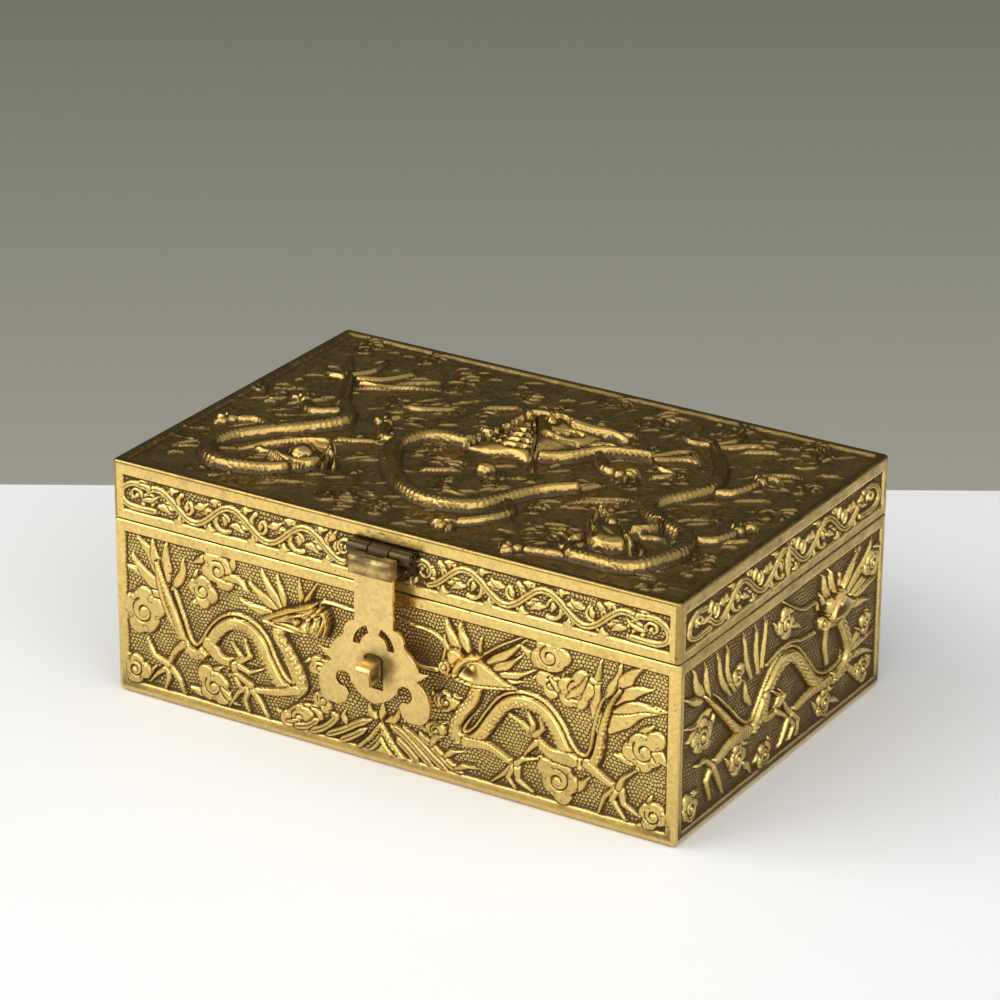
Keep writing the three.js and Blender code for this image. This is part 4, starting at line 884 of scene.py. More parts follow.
def high_head(face):
    """The middle dragon's high head: snout ridges that part like a tent, cheek, eye, brow, ear and horns."""
    for root, tip, width in (((6, 24), (2, 33), 3.2), ((10, 25), (12, 33), 3.2), ((13, 22), (23, 30), 3.4),
                             ((13, 18), (24, 20), 3.2), ((-5, 17), (-13, 21), 2.8),
                             ((-7, 13), (-16, 13), 2.6)):
        face.leaf(root, tip, width, 0.12, 1.7, 0.1)
    rim = [(-12, 0.2), (-9.6, 6.6), (-6.4, 12.4), (-4.4, 17.4), (-0.6, 21), (5.4, 24.2), (12, 25.4),
           (16.4, 22.8),
           (14.6, 17), (11.4, 12), (9, 6), (7.4, 1.0), (1.4, 1.8), (-5, 0.2)]

    def slope(uu, vv):
        away = np.hypot((uu - 1.6) / 14.5, (vv - 17.4) / 15.5)
        hollow = -1.3 * np.exp(-(((uu - 9) / 3.4) ** 2 + ((vv - 16.4) / 2.6) ** 2))
        return 2.5 - 3.9 * np.clip(away, 0, 1.2) + hollow

    face.outline(rim, 3.9, rounding=3.6, detail=slope, crown=0.5)
    ridge(face, [(-2.0, 18), (-4.6, 12.4), (-7.4, 6.4), (-11.4, 0.2)], 1.6, 7.0, 0.64)
    ridge(face, [(-1.6, 18), (1.6, 13.4), (4.6, 8), (7.8, 1.2)], 1.7, 7.0, 0.62)
    for n in range(5):
        v = 14.2 - n * 2.1
        ridge(face, [(-3.2 - n * 1.1, v - 0.8), (-0.8, v - 1.9), (1.8 + n * 1.0, v - 1.2)], 0.9,
              5.9 - n * 0.8, 0.05)
    ridge(face, [(-3.6, 18.4), (0.6, 21), (5.4, 22.4), (9.4, 21.6)], 2.3, 6.8, 0.2)
    face.bead((3.6, 18.6), 1.9, 6.3)
    face.groove(arc_points((3.6, 18.6), 2.0, 0, 1, inner=0.98), 0.45, 0.8)
    face.bead((3.6, 18.6), 0.75, 0, over=0.4)
    face.bead((-2.4, 17.4), 1.6, 7.0)
    ridge(face, [(8.8, 21.8), (13, 23), (17.6, 25.8), (21.4, 25.6)], 4.2, 5.6, 0.6)
    ridge(face, [(1.6, 22.4), (6.4, 25.8), (12, 27.4)], 2.0, 5.0, 0.5)
    ridge(face, [(7, 15), (9.6, 17.6), (12.6, 18.4)], 1.8, 4.4, 0.3)
    ridge(face, [(6.4, 11.6), (10, 12.6), (12.6, 15)], 1.8, 3.6, 0.3)


def left_head(face):
    """The left dragon's resting head: a round brow with a long horn that bends over it, and a short jaw."""
    for root, tip in (((-44, -22), (-52, -15)), ((-46, -24), (-57, -20)), ((-47, -27), (-60, -27))):
        face.leaf(root, tip, 2.6, 0.12, 1.4, 0.08)
    rim = [(-50.5, -31), (-46.6, -25.4), (-41.4, -23.6), (-37, -25), (-35.6, -29.4), (-38, -33.4),
           (-43.4, -34.6),
           (-48.4, -34)]
    face.outline(rim, 3.4, rounding=3.0, crown=0.6)
    face.bead((-41.4, -28.8), 3.3, 5.2)
    ridge(face, [(-37.6, -20.6), (-43, -20.8), (-49, -22.6), (-54.6, -26), (-59.6, -30.6)], 2.0, 4.6, 0.78)
    ridge(face, [(-38.2, -20.4), (-36.4, -24), (-34.6, -28), (-34.2, -30.6)], 1.5, 4.4, 0.45)
    ridge(face, [(-36.4, -24.6), (-33.4, -26.2), (-31.6, -29.2)], 1.8, 4.0, 0.3)
    ridge(face, [(-47.6, -33), (-42, -35.2), (-36.8, -33.4)], 1.2, 3.6, 0.2)
    face.groove(spline([(-45, -27), (-43.6, -31.4), (-40, -32.4)], 0.4), 0.4, 0.6)


def right_head(face):
    """The right dragon's head: a steep snout with bosses at its tip, a cheek ridge and a hooked horn."""
    for root, tip in (((54, -25), (62, -24)), ((55, -28), (60, -34)), ((46, -35), (40, -40)),
                      ((50, -36), (50, -41))):
        face.leaf(root, tip, 2.4, 0.12, 1.4, 0.08)
    rim = [(40.4, -20.4), (42.8, -19.8), (46.4, -22.6), (51.4, -25.6), (56, -29.6), (55.6, -34), (51, -37),
           (46.4, -36),
           (42.4, -31), (40, -25)]

    def slope(uu, vv):
        return 1.5 * np.exp(-(((uu - 48) / 4.6) ** 2 + ((vv + 28.6) / 5.6) ** 2)) - 0.2

    face.outline(rim, 3.8, rounding=3.0, detail=slope, crown=0.6)
    face.bead((41.6, -20.8), 1.3, 5.0)
    face.bead((43.4, -22.6), 1.2, 5.2)
    ridge(face, [(42.4, -22), (47.4, -25.6), (52.6, -30), (57.6, -34.6)], 1.2, 5.4, 0.5)
    ridge(face, [(41.6, -23.6), (44, -29), (47.6, -34.6)], 1.2, 5.0, 0.4)
    ridge(face, [(53, -25.6), (56.6, -21), (56.2, -17.4), (53.4, -16.8)], 1.6, 3.8, 0.2)
    face.bead((48.6, -28), 1.6, 5.6)
    face.groove(spline([(45.4, -27.4), (48, -32), (52, -33.6)], 0.4), 0.4, 0.6)


def top_figures(face):
    rows = [
        ((-35, 34), 6.6, 5, 20, 1), ((-19, 42.6), 5.4, 4, 0, -1), ((-72, 6), 5.6, 4, 40, 1),
        ((20, 40), 6, 5, 10, 1),
        ((66, 38), 6.4, 5, 40, -1), ((31, -37), 5.8, 5, 0, 1), ((-25, -43), 5.2, 4, 20, -1),
        ((74, 4), 5.2, 4, 0, 1),
        ((-40, 14), 4.8, 4, 30, 1), ((36, 2), 4.6, 4, 60, -1), ((-12, -14), 5.0, 4, 0, 1),
        ((5, -15), 4.4, 4, 45, -1),
        ((-52, 46), 4.6, 4, 10, 1), ((-74, -14), 4.6, 4, 10, -1), ((76, -30), 4.4, 4, 30, 1),
        ((62, 48), 3.6, 3, 0, 1),
        ((24, -24), 3.8, 3, 20, 1), ((-37, -8), 4.2, 4, 20, -1), ((4, 46), 4.4, 4, 0, 1),
        ((-9, -45), 3.6, 3, 20, 1),
        ((-70, 44), 4.6, 4, 20, 1), ((40, 46), 4.2, 4, 30, -1), ((-30, 18), 3.8, 4, 0, 1),
        ((36, -12), 4, 3, 0, -1),
        ((-56, -46), 4.0, 4, 10, 1), ((72, -46), 4.0, 4, 60, 1), ((46, 12), 3.4, 3, 40, 1),
        ((-20, -4), 3.2, 3, 0, 1),
        ((-3, -22), 3.4, 3, 30, 1), ((30, 26), 3.6, 4, 10, -1), ((74, 22), 3.8, 4, 10, 1),
        ((-8, 33), 3.6, 3, 0, 1),
    ]
    for n, (centre, radius, lobes, start, turn) in enumerate(rows):
        if n % 3 == 0:
            face.cloud(centre, radius * 0.7, lobes, start, turn, rise=0.5, squeeze=0.8)
        swirl(face, centre, radius * 0.8, start * 3, turn, 0.75)
    low_strokes(face, 340)
    for start, end, width in TOP_GLINTS:
        line = spline([start, end], 0.5)
        face.stroke(line, lambda t: width * np.sin(np.pi * np.clip(t, 0.06, 0.94)) ** 0.6, 1.25, crown=0.75,
                    wall=0.5)
    leaves_on(face, [
        ((-62, 25), (-70, 38), 3.4, 0.1), ((-63, 26), (-60, 41), 3.0, -0.1), ((-64, 24), (-76, 30), 3.2, 0.1),
        ((-60, 25), (-48, 37), 3.0, -0.1), ((-58, 23), (-40, 29), 2.6, -0.06), ((33, 19), (45, 24), 2.8, 0.1),
        ((32, 20), (40, 29), 2.8, 0.1), ((33, 18), (44, 14), 2.4, -0.1), ((41.5, 36), (33, 46), 3.0, 0.1),
        ((42.5, 36), (44, 49), 3.0, -0.1), ((40.6, 35), (30, 37.6), 2.8, 0.1),
        ((43, 34), (54, 42), 2.8, 0.05),
    ], 1.3)
    limbs = [
        ([(14.9, -22.6), (19.4, -28), (18.2, -34), (11, -42)], [200, 240, 285]),
        ([(-24.6, -6), (-33, -4.6), (-36.4, 3)], [60, 110, 165]),
        ([(-57, -17), (-66, -13), (-72, -16)], [130, 180, 230]),
        ([(54, 8), (60.6, 11), (63.6, 20.6)], [30, 80, 125]),
        ([(64, -20), (70.6, -17), (73.4, -9)], [40, 85, 130]),
        ([(20, 14.8), (25, 8), (31, 6)], [-50, -10, 30]),
        ([(-50, 4.6), (-58, 0), (-63, 5)], [90, 135, 180]),
        ([(49, -42.4), (40, -44.6), (33, -46.6)], [150, 190, 230]),
    ]
    for path, angles in limbs:
        scaled_body(face, path, 3.4, 2.2, 0.8)
        foot = path[-1]
        for degrees in angles:
            angle = math.radians(degrees)
            tip = (foot[0] + 5.6 * math.cos(angle), foot[1] + 5.6 * math.sin(angle))
            face.leaf(foot, tip, 1.7, 0.2, 1.9, 0.03)
        face.bead(foot, 1.7, 2.2)
    for spine, width in ((TOP_MIDDLE, 5.1), (TOP_LEFT, 4.9), (TOP_RIGHT, 4.9)):
        scaled_body(face, spine, width, 3.2)
    face.bead((1.2, -9.6), 2.7, 3.2)
    left_head(face)
    right_head(face)
    high_head(face)
    # Painted shade round the three high heads.
    for centre in ((0, 14), (-43, -27), (48, -28)):
        face.paint_shade(centre, 12, 0.14)


# Meshes

def linked(name, data):
    """A new object that stands in the scene."""
    thing = bpy.data.objects.new(name, data)
    bpy.context.scene.collection.objects.link(thing)
    return thing


def new_mesh(name, points, faces):
    mesh = bpy.data.meshes.new(name)
    mesh.from_pydata(points, [], faces)
    mesh.update(calc_edges=True)
    return mesh


def new_piece(name, mesh, body, slot, material, *nodes):
    piece = linked(name, mesh)
    mesh.materials.clear()
    mesh.materials.append(material)
    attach(piece, body)
    if nodes:
        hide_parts(*nodes)


def panel(name, face, origin, right, up, body, slot, material):
    """A closed slab whose front is the carving."""
    rows, columns = face.h.shape
    origin, right, up = (np.array(a, float) for a in (origin, right, up))
    out = np.cross(right, up)
    flat = origin + face.grid_u.ravel()[:, None] * right + face.grid_v.ravel()[:, None] * up
    front = flat + face.h.ravel()[:, None] * out
    index = np.arange(rows * columns).reshape(rows, columns)
    ring = np.concatenate([index[0, :-1], index[:-1, -1], index[-1, :0:-1], index[:0:-1, 0]])
    back = flat[ring] + SLAB_BACK * out
    middle = (flat[index[0, 0]] + flat[index[-1, -1]]) / 2 + SLAB_BACK * out
    points = np.vstack([front, back, middle]) * MM
    quads = np.stack([index[:-1, :-1], index[:-1, 1:], index[1:, 1:], index[1:, :-1]], -1).reshape(-1, 4)
    base = rows * columns
    count = len(ring)
    here = np.arange(count)
    after = (here + 1) % count
    walls = np.column_stack([ring[after], ring[here], base + here, base + after])
    fan = np.column_stack([base + after, base + here, np.full(count, base + count)])
    mesh = new_mesh(name, points.tolist(), quads.tolist() + walls.tolist() + fan.tolist())
    for title, kind, field, layers in (
            ("patina_and_shade", "FLOAT", "value", [face.patina_and_shade()]),
            ("bare", "FLOAT", "value", [face.net]),
            ("place", "FLOAT_VECTOR", "vector", [face.place_u, face.place_v, np.zeros(face.h.shape)])):
        table = np.zeros((len(points), len(layers)), np.float32)
        for n, layer in enumerate(layers):
            table[:base, n] = layer.ravel()
        mesh.attributes.new(title, kind, "POINT").data.foreach_set(field, table.ravel())
    edges = np.zeros(len(mesh.edges) * 2, np.int32)
    mesh.edges.foreach_get("vertices", edges)
    border = np.zeros(len(points), bool)
    border[ring] = True
    border[base:base + count] = True
    pairs = edges.reshape(-1, 2)
    sharp = border[pairs[:, 0]] & border[pairs[:, 1]]
    mesh.shade_smooth()
    mesh.attributes.new("sharp_edge", "BOOLEAN", "EDGE").data.foreach_set("value", sharp)
    new_piece(name, mesh, body, slot, material)


def outward(bm, name, crisp=None):
    """The finished mesh, its faces turned outward. Edges over the angle in degrees stay crisp."""
    bmesh.ops.recalc_face_normals(bm, faces=bm.faces)
    mesh = bpy.data.meshes.new(name)
    bm.to_mesh(mesh)
    bm.free()
    if crisp:
        mesh.shade_smooth()
        mesh.set_sharp_from_angle(angle=math.radians(crisp))
    return mesh


def skin(name, rings, soft=0.0, segments=3, crisp=None):
    """A closed skin over a row of rings, from the first to the last, with soft edges where asked for."""
    bm = bmesh.new()
    rows = [[bm.verts.new(Vector(p) * MM) for p in ring] for ring in rings]
    for low, high in zip(rows[:-1], rows[1:]):
        for i in range(len(low)):
            k = (i + 1) % len(low)
            bm.faces.new((low[i], low[k], high[k], high[i]))
    bm.faces.new(list(reversed(rows[0])))
    bm.faces.new(rows[-1])
    if soft:
        bmesh.ops.recalc_face_normals(bm, faces=bm.faces)
        bmesh.ops.bevel(bm, geom=list(bm.edges), offset=soft * MM, segments=segments, profile=0.6,
                        affect="EDGES")
    return outward(bm, name, crisp)


def baked(thing):
    """The mesh of a thing with its modifiers applied. The thing itself goes."""
    graph = bpy.context.evaluated_depsgraph_get()
    graph.update()
    mesh = bpy.data.meshes.new_from_object(thing.evaluated_get(graph))
    bpy.data.objects.remove(thing)
    return mesh


def joined_mesh(name, meshes):
    bm = bmesh.new()
    for mesh in meshes:
        bm.from_mesh(mesh)
    return outward(bm, name, 35)


def rounded_ring(z, inset, radius, steps=8):
    """A level ring with round corners, set in from the outside of the box."""
    ring = []
    corner = max(radius - inset, 0.3)
    for quarter in range(4):
        sign_x = 1 if quarter in (0, 3) else -1
        sign_y = 1 if quarter < 2 else -1
        for i in range(steps + 1):
            angle = (quarter + i / steps) * math.pi / 2
            ring.append((
                sign_x * (HALF_LENGTH - inset - corner) + corner * math.cos(angle),
                sign_y * (HALF_DEPTH - inset - corner) + corner * math.sin(angle),
                z,
            ))
    return ring


def box_rings(x, y, z):
    flat = [(x[0], y[0]), (x[1], y[0]), (x[1], y[1]), (x[0], y[1])]
    return [[(a, b, height) for a, b in flat] for height in z]


def circle_rings(spans, y, z, count):
    """Rings round a line along X. spans are (x, radius)."""
    angles = [-n / count * 2 * math.pi for n in range(count)]
    return [[(x, y + radius * math.cos(a), z + radius * math.sin(a)) for a in angles] for x, radius in spans]


def cut_from(thing, cutters, bevel=0.0):
    """Takes the cutters away from a thing and gives the mesh that is left."""
    for n, cutter in enumerate(cutters):
        cut = thing.modifiers.new(f"cut_{n}", "BOOLEAN")
        cut.operation = "DIFFERENCE"
        cut.solver = "EXACT"
        cut.object = cutter
    if bevel:
        soft = thing.modifiers.new("soft edges", "BEVEL")
        soft.width = bevel * MM
        soft.segments = 3
        soft.limit_method = "ANGLE"
        soft.angle_limit = math.radians(40)
    name = thing.name
    bm = bmesh.new()
    bm.from_mesh(baked(thing))
    for cutter in cutters:
        bpy.data.objects.remove(cutter)
    bmesh.ops.remove_doubles(bm, verts=bm.verts, dist=1e-6)
    bmesh.ops.dissolve_degenerate(bm, dist=1e-6, edges=bm.edges)
    bmesh.ops.triangulate(bm, faces=[f for f in bm.faces if len(f.verts) > 4])
    return outward(bm, name, 35)


# The plain bodies behind the carved faces

def round_profile(low, high, low_round, high_round, steps=6):
    """Heights and insets of a body's rings. An edge that isn't rounded gets a narrow bevel."""
    turns = [(1 - math.cos(a), 1 - math.sin(a)) for a in np.linspace(0, math.pi / 2, steps + 1)]
    if low_round:
        rows = [(low + low_round * up, low_round * inset) for up, inset in turns]
    else:
        rows = [(low, 0.25), (low + 0.25, 0)]
    if high_round:
        return rows + [(high - high_round * down, high_round * inset) for inset, down in turns]
    return rows + [(high - 0.25, 0), (high, 0.25)]


def tarnish_inside(mesh, amount):
    """The inner walls and floor keep an even coat of tarnish."""
    patina_and_shade = mesh.attributes.new("patina_and_shade", "FLOAT", "POINT").data
    for vertex, level in zip(mesh.vertices, patina_and_shade):
        x, y, z = vertex.co / MM
        if abs(x) < HALF_LENGTH - 3 and abs(y) < HALF_DEPTH - 3 and 1 < z < LID_TOP - 1:
            level.value = amount


def shell(name, body, slot, material, profile, hollow, seat, tarnish, more=()):
    """Corners, foot or rim, inner walls and floor, with pockets for the carved slabs."""
    thing = linked(name, skin(name, [rounded_ring(z, inset, CORNER) for z, inset in profile]))
    rings = [[rounded_ring(z, WALL, INNER_CORNER) for z in hollow]]
    for sign in (-1, 1):
        y = sorted((sign * (HALF_DEPTH + SLAB_BACK), sign * (HALF_DEPTH + FAR)))
        rings.append(box_rings((-FLAT_X, FLAT_X), y, seat))
        x = sorted((sign * (HALF_LENGTH + SLAB_BACK), sign * (HALF_LENGTH + FAR)))
        rings.append(box_rings(x, (-FLAT_Y, FLAT_Y), seat))
    cutters = [linked("pocket", skin("pocket", cutter)) for cutter in (*rings, *more)]
    mesh = cut_from(thing, cutters)
    tarnish_inside(mesh, tarnish)
    new_piece(name, mesh, body, slot, material, body)


def shells(bright, dark):
    shell("base_shell", "base", "cast_brass", bright, round_profile(0, RIM, 2, 0), (FLOOR, RIM + FAR),
          BASE_SEAT, 0.42)
    top = box_rings((-81.65, 81.65), (-53.15, 53.15), (LID_TOP + SLAB_BACK + 0.1, LID_TOP + FAR))
    shell("lid_shell", "lid", "aged_brass", dark, round_profile(LID_BOTTOM, LID_TOP, 0, 0.8),
          (LID_BOTTOM - FAR, LID_INSIDE), LID_SEAT, 0.12, [top])


# The carved faces

def hinge_seats(face, low, high):
    """Flat seats at the level of the rails, where the back hinges lie."""
    for x in (-LID_HINGE_X, LID_HINGE_X):
        seat = (abs(face.grid_u - x) < 13) & (face.grid_v > low) & (face.grid_v < high)
        face.h[seat] = 0.0
        face.bare[seat] = False


def base_figures(face, side):
    if side in ("right", "left"):
        end_figures(face, side == "left")
        return
    front_figures(face)
    if side == "back":
        pearl(face, (0, 28), 4.6)
        hinge_seats(face, 37.75, 49.0)


def lid_figures(face, side):
    if side == "front":
        front_vine(face)
    elif side == "back":
        vine(face, -71.5, 71, -68.8)
        end_loop(face, -71, -1)
        end_loop(face, 70.4, 1)
        hinge_seats(face, 49.0, 60.05)
    else:
        end_vine(face)


def build_faces(bright, dark):
    """Carves the sides of the base and the lid, then the lid's top. The steps are the width of a cell."""
    coarse = 1.0
    sides = (
        ("front", (0, -HALF_DEPTH, 0), (1, 0, 0), FLAT_X, 79.5, 0.286),
        ("right", (HALF_LENGTH, 0, 0), (0, 1, 0), FLAT_Y, 51.0, 0.295),
        ("back", (0, HALF_DEPTH, 0), (-1, 0, 0), FLAT_X, 79.5, 0.37),
        ("left", (-HALF_LENGTH, 0, 0), (0, -1, 0), FLAT_Y, 51.0, 0.37),
    )
    for seed, (side, origin, right, half, field, step) in enumerate(sides):
        shaded = side == "right"
        for body, seat, band, figures, first, depth, marks in (
                ("base", BASE_SEAT, BASE_FIELD, base_figures, 11, 0.3, (30, 120)),
                ("lid", LID_SEAT, LID_FIELD, lid_figures, 31, 0.24, (14, 60))):
            face = Relief((-half, half), seat, (-field, field), band, step * coarse, FIELD_DEPTH,
                          first + seed)
            figures(face, side)
            face.punch(depth)
            face.frame()
            face.wear(*marks)
            # Painted shade: the right end is darkened all over; the base also darkens towards its foot, and
            # the lid's other sides a little.
            if body == "base":
                face.painted_shade += (0.34 if shaded else 0.0) + 0.26 * smoothstep((9 - face.grid_v) / 6)
            else:
                face.painted_shade += 0.34 if shaded else 0.05
            panel(f"{body}_{side}", face, origin, right, (0, 0, 1), body, "cast_brass", bright)
    face = Relief((-81.5, 81.5), (-53.0, 53.0), (-79.9, 79.9), (-51.4, 51.4), 0.43 * coarse, TOP_DEPTH, 51)
    top_figures(face)
    face.ripple(0.13)
    face.frame()
    face.wear(40, 160)
    panel("lid_top", face, (0, 0, LID_TOP), (1, 0, 0), (0, 1, 0), "lid", "aged_brass", dark)


# Flat work: a shape with holes, given a thickness and soft edges

def cut_plate(name, outlines, thickness, soft, matrix):
    """outlines are closed lists of (a, b) in millimetres; the first is the rim and the others are holes."""
    data = bpy.data.curves.new(name, "CURVE")
    data.dimensions = "2D"
    data.fill_mode = "BOTH"
    data.extrude = (thickness / 2 - soft) * MM
    data.bevel_depth = soft * MM
    data.bevel_resolution = 2
    data.offset = -soft * MM
    for points in outlines:
        row = data.splines.new("POLY")
        row.points.add(len(points) - 1)
        for target, (a, b) in zip(row.points, points):
            target.co = (a * MM, b * MM, 0, 1)
        row.use_cyclic_u = True
    bm = bmesh.new()
    bm.from_mesh(baked(linked(name, data)))
    bmesh.ops.remove_doubles(bm, verts=bm.verts, dist=2e-6)
    bmesh.ops.recalc_face_normals(bm, faces=bm.faces)
    bm.transform(matrix)
    return outward(bm, name, 40)


def quadratic(a, control, b, count=7):
    t = np.linspace(0, 1, count)[1:, None]
    a, control, b = (np.array(p, float) for p in (a, control, b))
    return [tuple(p) for p in (1 - t) ** 2 * a + 2 * t * (1 - t) * control + t ** 2 * b]


# The plate's right side as (control, end) of each curve, in hundredths of half its width and of its height
PLATE_SIDE = [
    ((48, 104), (54, 92.5)), ((51, 87.5), (58, 83.3)), ((72, 77), (79, 63)), ((90, 61.5), (100, 65)),
    ((88.5, 57), (75, 51)), ((96.5, 44), (98.8, 22.8)), ((98.8, 0), (71, 0)), ((49.7, 0), (46.7, 13)),
]
PLATE_HALF_WIDTH = 16.5
PLATE_HEIGHT = 22.8
PLATE_TOP = 40.0
STRAP_HALF_WIDTH = 5.65


def hasp_outlines():
    def at(across, above):
        return across / 100 * PLATE_HALF_WIDTH, PLATE_TOP + (above / 100 - 1) * PLATE_HEIGHT

    here = (STRAP_HALF_WIDTH, 41.2)
    right = [(STRAP_HALF_WIDTH, 56.6), here]
    for control, end in PLATE_SIDE:
        right += quadratic(here, at(*control), at(*end))
        here = at(*end)
    eye = at(54.5, 32)
    right += [at(44.6, 15.6), at(48.6, 21.4)]
    for degrees in range(-104, 201, 16):
        angle = math.radians(degrees)
        right.append((eye[0] + 2.2 * math.cos(angle), eye[1] + 2.2 * math.sin(angle)))
    right += [at(38.6, 30), at(31, 22.8)]
    right += quadratic(at(31, 22.8), at(18, 15.4), at(0, 11.4))
    left = [(-a, b) for a, b in reversed(right[:-1])]
    slot = [(2.75, 24.1), (2.75, 32)] + quadratic((2.75, 32), (2.6, 33.3), (0, 33.3))
    slot += quadratic((0, 33.3), (-2.6, 33.3), (-2.75, 32)) + [(-2.75, 24.1)]
    rims = [right + left, slot]
    centre_z = at(0, 78)[1]
    angles = np.linspace(0.02, 1.2, 10)
    for side in (-1, 1):
        outer = [(side * 6 * math.cos(a), centre_z + 6 * math.sin(a)) for a in angles]
        inner = [(side * 4 * math.cos(a), centre_z + 4 * math.sin(a)) for a in reversed(angles)]
        rims.append(outer + inner)
    return rims


def hasp_head_mesh():
    """The head folded over the hinge: a block that is bevelled wide at its front."""
    rings = []
    for y, draw in ((-58.1, 0), (-61.1, 0), (-62, 0.9)):
        x0, x1 = HASP_X - 6.25 + draw, HASP_X + 6.25 - draw
        z0, z1 = 54.7 + draw, 59.7 - draw
        rings.append([(x0, y, z0), (x0, y, z1), (x1, y, z1), (x1, y, z0)])
    return skin("head", rings, 0.22, 2)


def hasp_and_staple(tree, sheet):
    # The plate is drawn in x and z, and its thickness runs along y
    turn = Matrix(((1, 0, 0), (0, 0, -1), (0, 1, 0))).to_4x4()
    matrix = Matrix.Translation((HASP_X * MM, -58.9 * MM, 0)) @ turn
    plate = cut_plate("plate", hasp_outlines(), 1.2, 0.22, matrix)
    inner = HASP_HINGE_LENGTH / 6 - KNUCKLE_GAP
    neck = skin("neck", box_rings((HASP_X - inner, HASP_X + inner), (-59.2, -56.9), (57.7, 59.7)), 0.2)
    knuckle = knuckles_at(tree, HASP_X, HASP_HINGE_LENGTH, HASP_HINGE_Y, HASP_HINGE_Z, HASP_KNUCKLE_RADIUS,
                          False, sheet)
    whole = joined_mesh("hasp_fine", [plate, hasp_head_mesh(), neck, knuckle])
    new_piece("hasp_fine", whole, "hasp", "sheet_brass", sheet, "hasp")
    rim = [(-65, 26.9), (-64.9, 26.75), (-53.4, 26.75), (-53.4, 32.05), (-62.6, 32.05)]
    rim += quadratic((-62.6, 32.05), (-64.6, 31.9), (-65, 30.2))
    eye = [(-63.6, 28.4)] + quadratic((-63.6, 28.4), (-63.6, 27.9), (-63.1, 27.9))
    eye += [(-59.8, 27.9), (-59.8, 30.9), (-62.6, 30.9)]
    eye += quadratic((-62.6, 30.9), (-63.5, 30.8), (-63.6, 29.9))
    # The staple is drawn in y and z, and its thickness runs along x
    turn = Matrix(((0, 0, 1), (1, 0, 0), (0, 1, 0))).to_4x4()
    matrix = Matrix.Translation((HASP_X * MM, 0, 0)) @ turn
    new_piece("staple_fine", cut_plate("staple", [rim, eye], 4.3, 0.25, matrix), "base", "sheet_brass", sheet,
              "staple")


# Node trees

class Nodes:
    """Adds nodes to a tree and joins them."""

    def __init__(self, tree):
        self.tree = tree

    def add(self, kind, inputs=None, **settings):
        made = self.tree.nodes.new(kind)
        for key, value in settings.items():
            setattr(made, key, value)
        for key, value in (inputs or {}).items():
            self.feed(made.inputs[key], value)
        return made

    def feed(self, socket, value):
        if isinstance(value, bpy.types.NodeSocket):
            self.tree.links.new(value, socket)
        else:
            socket.default_value = value

    def maths(self, operation, a, b=0.5, clamp=False):
        return self.add("ShaderNodeMath", {0: a, 1: b}, operation=operation, use_clamp=clamp).outputs[0]

    def times(self, a, b, clamp=False):
        return self.maths("MULTIPLY", a, b, clamp)

    def plus(self, a, b, clamp=False):
        return self.maths("ADD", a, b, clamp)

    def less(self, a, b, clamp=False):
        return self.maths("SUBTRACT", a, b, clamp)

    def spread(self, value, low, high, to_low=0.0, to_high=1.0, kind="SMOOTHSTEP"):
        """A value carried from one range into another, and held at its ends."""
        inputs = {"Value": value, "From Min": low, "From Max": high, "To Min": to_low, "To Max": to_high}
        return self.add("ShaderNodeMapRange", inputs, interpolation_type=kind).outputs[0]

    def apart(self, vector):
        return self.add("ShaderNodeSeparateXYZ", {0: vector}).outputs

    def ramp(self, value, stops):
        """A colour ramp through the stops, which are (position, colour)."""
        made = self.add("ShaderNodeValToRGB", {"Fac": value})
        marks = made.color_ramp.elements
        for mark, (position, colour) in zip(marks, (stops[0], stops[-1])):
            mark.position = position
            mark.color = (*colour, 1)
        for position, colour in stops[1:-1]:
            marks.new(position).color = (*colour, 1)
        return made.outputs["Color"]


def add_sockets(tree, flow, kind, *names):
    for name in names:
        tree.interface.new_socket(name, in_out=flow, socket_type=f"NodeSocket{kind}")


# Hinges: a row of knuckles made with nodes

def knuckle_nodes():
    """A node group that makes bored knuckles in a row along X."""
    tree = bpy.data.node_groups.new("Knuckle row", "GeometryNodeTree")
    add_sockets(tree, "INPUT", "Geometry", "Geometry")
    add_sockets(tree, "OUTPUT", "Geometry", "Geometry")
    add_sockets(tree, "INPUT", "Int", "Count")
    add_sockets(tree, "INPUT", "Vector", "Start", "Step")
    add_sockets(tree, "INPUT", "Float", "Outer radius", "Bore radius", "Length")
    add_sockets(tree, "INPUT", "Material", "Material")
    n = Nodes(tree)
    entry = n.add("NodeGroupInput").outputs
    outer = entry["Outer radius"]
    bore = entry["Bore radius"]
    circle = n.add("GeometryNodeCurvePrimitiveCircle",
                   {"Resolution": 40, "Radius": n.times(n.plus(outer, bore), 0.5)})
    section = n.add("GeometryNodeCurvePrimitiveQuadrilateral",
                    {"Width": n.less(outer, bore), "Height": entry["Length"]})
    soft = n.add("GeometryNodeFilletCurve",
                 {"Curve": section.outputs["Curve"], "Count": 3, "Radius": 0.00022}, mode="POLY")
    sweep = n.add("GeometryNodeCurveToMesh",
                  {"Curve": circle.outputs["Curve"], "Profile Curve": soft.outputs["Curve"]})
    turn = n.add("GeometryNodeTransform",
                 {"Geometry": sweep.outputs["Mesh"], "Rotation": (0, math.pi / 2, 0)})
    row = n.add("GeometryNodeMeshLine",
                {"Count": entry["Count"], "Start Location": entry["Start"], "Offset": entry["Step"]})
    place = n.add("GeometryNodeInstanceOnPoints",
                  {"Points": row.outputs["Mesh"], "Instance": turn.outputs["Geometry"]})
    real = n.add("GeometryNodeRealizeInstances", {"Geometry": place.outputs["Instances"]})
    finish = n.add("GeometryNodeSetMaterial",
                   {"Geometry": real.outputs["Geometry"], "Material": entry["Material"]})
    n.add("NodeGroupOutput", {"Geometry": finish.outputs["Geometry"]})
    return tree


